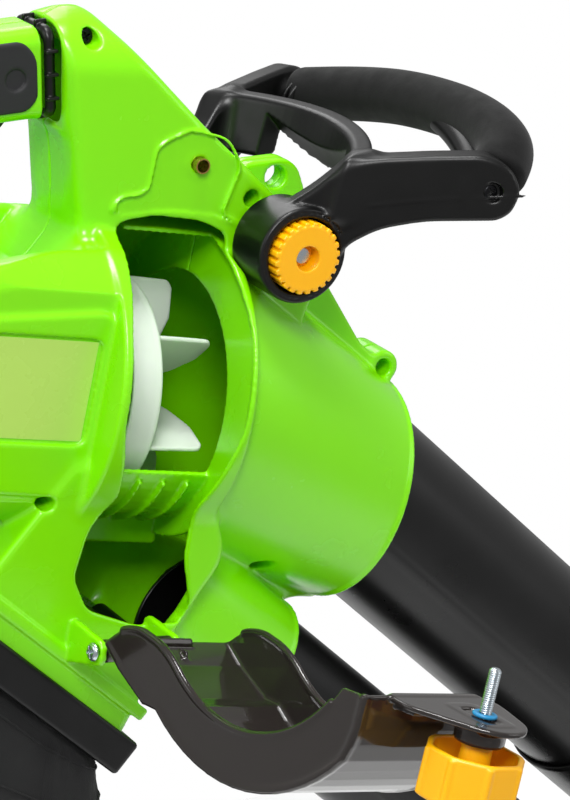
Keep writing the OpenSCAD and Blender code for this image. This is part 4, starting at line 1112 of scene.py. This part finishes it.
# ------------------------------------------------------------------ rear grip details
def collar_band():
    """Ribbed black band: two rings joined by cross ribs with slots between them."""
    out = Block([-46, -26, 144], [-28, 26, 212], 0.6)
    ring_lo, ring_hi = np.array([-41.4, -21.4, 150.6]), np.array([-32.8, 21.4, 202.4])
    band = brick(ring_lo, ring_hi, 9)
    flat = brick([-41.4, -40, 140], [-32.8, 40, 210], 1.6)
    out.add(both(band, flat))
    out.cut(both(brick([-38.9, -30, 140], [-35.6, 30, 215], 0.8),
                 without(brick([-50, -40, 140], [-20, 40, 215]), brick([-60, -19.4, 152.6], [0, 19.4, 200.4], 8))), 0.6)
    for z in (164, 176, 188):
        for side in (-1, 1):
            y0, y1 = sorted((side * 18, side * 21))
            out.add(brick([-40.5, y0, z - 0.9], [-33.5, y1, z + 0.9], 0.4), 0.5)
    for y in (-7, 7):
        out.add(brick([-40.5, y - 0.9, 199], [-33.5, y + 0.9, 202], 0.4), 0.5)
        out.add(brick([-40.5, y - 0.9, 151], [-33.5, y + 0.9, 154], 0.4), 0.5)
    out.cut(brick([-60, -16.6, 155], [0, 16.6, 197], 6))
    return out


from_block("ribbed_collar", collar_band(), "black_plastic", "housing", ["handle_collar"])


def grip_panels():
    out = Block([-172, -24, 150], [-40, 24, 206], 0.8)
    panel = [(-45, 186), (-45, 165), (-51, 159), (-146, 159), (-158, 168), (-158, 186), (-150, 195), (-52, 195)]
    for low, high in ((-20.6, -17.5), (17.5, 20.6)):
        out.add(plate(panel, low, high, soft=1.2, bend=8))
        for i in range(9):
            x = -72 - i * 9
            raised = [(x - 1.6, 165), (x + 1.6, 165), (x + 1.6, 189), (x - 1.6, 189)]
            y0, y1 = min(low, high * 1.02) - (0.5 if low < 0 else 0), high + (0.5 if low > 0 else 0)
            out.add(plate(raised, y0, y1, soft=0.5, bend=1.5), 0.6)
        face = low if low < 0 else high
        out.cut(rod([-57, face * 1.2, 176], [-57, face * 0.93, 176], 5.4), 1.2)
    return out


from_block("soft_grip_panels", grip_panels(), "soft_grip", "housing", ["grip_inserts"])


def trigger():
    out = Block([-92, -9, 138], [-46, 9, 172], 0.5)
    shape = [(-56, 165), (-51, 159), (-58, 150), (-66, 143), (-76, 145), (-83, 154), (-84, 162)]
    out.add(plate(shape, -6.9, 6.9, soft=2.2, bend=4))
    out.cut(rod([-54, -10, 162], [-54, 10, 162], 2.1))
    return out


from_block("trigger_lever", trigger(), "black_plastic", "trigger", ["trigger"])


# ------------------------------------------------------------------ bag
def bag_collar():
    out = Block([-40, -80, -166], [112, 24, -132], 0.9)
    out.add(brick([-33, -75, -158], [107, 19, -138], 2.2))
    out.cut(brick([-28.4, -70.4, -143.5], [102.4, 14.4, -130]))
    out.cut(brick([-25.2, -67.2, -170], [99.2, 11.2, -130]))
    return out


from_block("bag_frame", bag_collar(), "black_plastic", "housing", ["bag_collar"], turn=lambda p: p @ TUBE.T)


def debris_bag():
    """Woven bag hanging from its collar, with a gathered neck, side seams and slack folds."""
    rng = np.random.default_rng(11)
    rows, steps = 70, 120
    points, faces = [], []
    waves = [(rng.integers(3, 9), rng.random() * 6.3, rng.random() * 1.4 + 0.5) for _ in range(7)]
    for i in range(rows + 1):
        t = i / rows
        ease = 3 * min(t / 0.3, 1) ** 2 - 2 * min(t / 0.3, 1) ** 3
        for k in range(steps):
            a = 2 * math.pi * k / steps
            c, s = math.cos(a), math.sin(a)
            power = 0.35
            sq_c, sq_s = math.copysign(abs(c) ** power, c), math.copysign(abs(s) ** power, s)
            top = tube(37 + 63 * sq_c, -28 + 40 * sq_s, -156)
            power = 0.62
            rc, rs = math.copysign(abs(c) ** power, c), math.copysign(abs(s) ** power, s)
            swell = 1 + 0.1 * math.sin(math.pi * min(1, t * 1.1))
            close = 1 - 0.88 * max(0.0, (t - 0.93) / 0.07) ** 2
            wide = np.array([rc * 78 * swell * close, rs * 66 * swell * close, 0])
            middle = np.array([-118.0 - 10 * t, -28.0, -205 - 247 * t])
            low = middle + wide
            p = top * (1 - ease) + low * ease
            if t < 0.3:
                p = p + np.array([0, 0, -(1 - ease) * 40 * t / 0.3 * 0.2])
            fold = sum(h * math.sin(n * a + ph + 3.0 * t * n / 5) for n, ph, h in waves)
            away = np.array([rc, rs, 0.0]) / max(1e-6, math.hypot(rc, rs))
            p = p + away * fold * (0.5 + 0.8 * math.sin(math.pi * min(1, t * 1.4))) * 0.9
            points.append(p)
    for i in range(rows):
        for k in range(steps):
            m = (k + 1) % steps
            faces.append((i * steps + k, (i + 1) * steps + k, (i + 1) * steps + m, i * steps + m))
    faces.append(tuple(range(steps)))
    faces.append(tuple(rows * steps + k for k in range(steps))[::-1])
    made = piece("woven_bag", points, faces, "bag_cloth", "housing", ["debris_bag"])
    held = list(range(4 * steps)) + list(range((rows - 3) * steps, (rows + 1) * steps))
    settle_cloth(made, held, 0.009)
    # piped seams down both sides, and a stitched band at the neck
    shaped = np.array([v.co[:] for v in made.data.vertices]) * 1000.0 + STRAP_EYE
    seams = []
    for k in (steps // 8, steps * 5 // 8):
        line = shaped[[i * steps + k for i in range(2, rows + 1)]]
        seams.append(sleeve(line, [1.7] * len(line), 10))
    for row in (5, 9):
        line = shaped[[row * steps + k for k in range(steps)] + [row * steps]]
        seams.append(sleeve(line, [0.8] * len(line), 8, caps=False))
    points, faces = joined(seams)
    piece("bag_seams", points, faces, "bag_cloth", "housing")


def settle_cloth(made, held, limit):
    """Lets the cloth puff and buckle from its cut shape; held points stay, no point moves past limit."""
    scene = bpy.context.scene
    before = np.array([v.co[:] for v in made.data.vertices])
    group = made.vertex_groups.new(name="held")
    group.add(held, 1.0, "REPLACE")
    cloth = made.modifiers.new("settle", "CLOTH")
    cloth.settings.quality = 6
    cloth.settings.mass = 0.2
    cloth.settings.tension_stiffness = 12
    cloth.settings.compression_stiffness = 12
    cloth.settings.bending_stiffness = 0.3
    cloth.settings.shrink_min = -0.035
    cloth.settings.use_pressure = True
    cloth.settings.uniform_pressure_force = 3.0
    cloth.settings.effector_weights.gravity = 0
    cloth.settings.vertex_group_mass = "held"
    cloth.collision_settings.use_collision = False
    cloth.point_cache.frame_start, cloth.point_cache.frame_end = 1, 20
    for number in range(1, 21):
        scene.frame_set(number)
    shown = made.evaluated_get(bpy.context.evaluated_depsgraph_get())
    after = np.array([v.co[:] for v in shown.data.vertices])
    made.modifiers.remove(cloth)
    scene.frame_set(1)
    step = after - before
    size = np.linalg.norm(step, axis=1, keepdims=True)
    step *= np.minimum(1.0, limit / np.maximum(size, 1e-9))
    made.data.vertices.foreach_set("co", (before + step).astype(np.float32).ravel())
    made.data.update()
    print("cloth moved", float(size.max()) * 1000, "mm at most")


debris_bag()


# ------------------------------------------------------------------ carried-over pieces
SOFT_EDGES = {"bag_latch": 0.8, "selector_lever": 1.2, "speed_dial": 0.5, "cable_gland": 0.8, "pivot_nut": 0.8,
              "interlock_switch": 0.5, "main_switch": 0.5, "rating_plate": 0.15, "flap": 0.6, "stator": 0.4,
              "brush_holders": 0.4, "bag_zip": 0.4, "collar_seal": 0.3, "impeller_nut": 0.3}
for name, node in nodes.items():
    if not node.hide_render:
        node.data.materials.clear()
        node.data.materials.append(LOOKS[SLOT_OF[name]])
        if name in SOFT_EDGES:
            bevel = node.modifiers.new("eased edges", "BEVEL")
            bevel.width = SOFT_EDGES[name] / 1000
            bevel.segments = 3
            bevel.limit_method = "ANGLE"
            bevel.angle_limit = math.radians(35)


# ------------------------------------------------------------------ studio
def studio():
    world = bpy.data.worlds.new("Studio air")
    world.use_nodes = True
    # the paper behind the blower shows white, while the air lights it more gently
    air = world.node_tree.nodes["Background"]
    air.inputs["Color"].default_value = (1, 1, 1, 1)
    seen = part_of(world.node_tree, "ShaderNodeLightPath").outputs["Is Camera Ray"]
    strength = part_of(world.node_tree, "ShaderNodeMapRange", [("Value", seen)])
    strength.inputs["To Min"].default_value = 0.4
    strength.inputs["To Max"].default_value = 1.0
    world.node_tree.links.new(strength.outputs["Result"], air.inputs["Strength"])
    bpy.context.scene.world = world
    # plain display of the light, so that the finishes show in their own colours
    bpy.context.scene.view_settings.view_transform = "Standard"
    floor = bpy.data.meshes.new("studio_floor")
    z = cad_box[0][2] - 0.12
    floor.from_pydata([(-0.9, -0.7, z), (1.1, -0.7, z), (1.1, 0.7, z), (-0.9, 0.7, z)], [], [(0, 1, 2, 3)])
    floor.materials.append(studio_paper())
    paper = bpy.data.objects.new("studio_floor", floor)
    bpy.context.scene.collection.objects.link(paper)
    lamps = (("key_softbox", (-0.9, -1.5, 1.5), 0.7, 38), ("fill_softbox", (1.5, -1.1, 0.5), 1.0, 5),
             ("back_softbox", (0.3, 1.6, 1.3), 1.2, 16), ("top_softbox", (-0.1, -0.1, 1.8), 0.6, 26),
             ("rear_softbox", (-1.7, 0.2, 0.7), 1.0, 6))
    for name, place, size, watts in lamps:
        light = bpy.data.lights.new(name, "AREA")
        light.shape, light.size, light.energy = "SQUARE", size, watts
        lamp = bpy.data.objects.new(name, light)
        lamp.location = place
        lamp.rotation_euler = (Vector((0, 0, -0.1)) - Vector(place)).to_track_quat("-Z", "Y").to_euler()
        bpy.context.scene.collection.objects.link(lamp)


def camera():
    lens = bpy.data.cameras.new("camera")
    lens.lens, lens.sensor_width, lens.sensor_fit = 150.0, 36.0, "AUTO"
    lens.clip_start, lens.clip_end = 0.05, 20.0
    made = bpy.data.objects.new("camera", lens)
    right_dir, up_dir, ahead = (0.8729, -0.4879, 0.0), (0.1685, 0.3014, 0.9385), (0.4579, 0.8192, -0.3453)
    turn = Matrix([[right_dir[i], up_dir[i], -ahead[i]] for i in range(3)]).to_4x4()
    turn.translation = Vector((-0.8186, -1.4815, 0.4954))
    made.matrix_world = turn
    bpy.context.scene.collection.objects.link(made)
    bpy.context.scene.camera = made


studio()
camera()
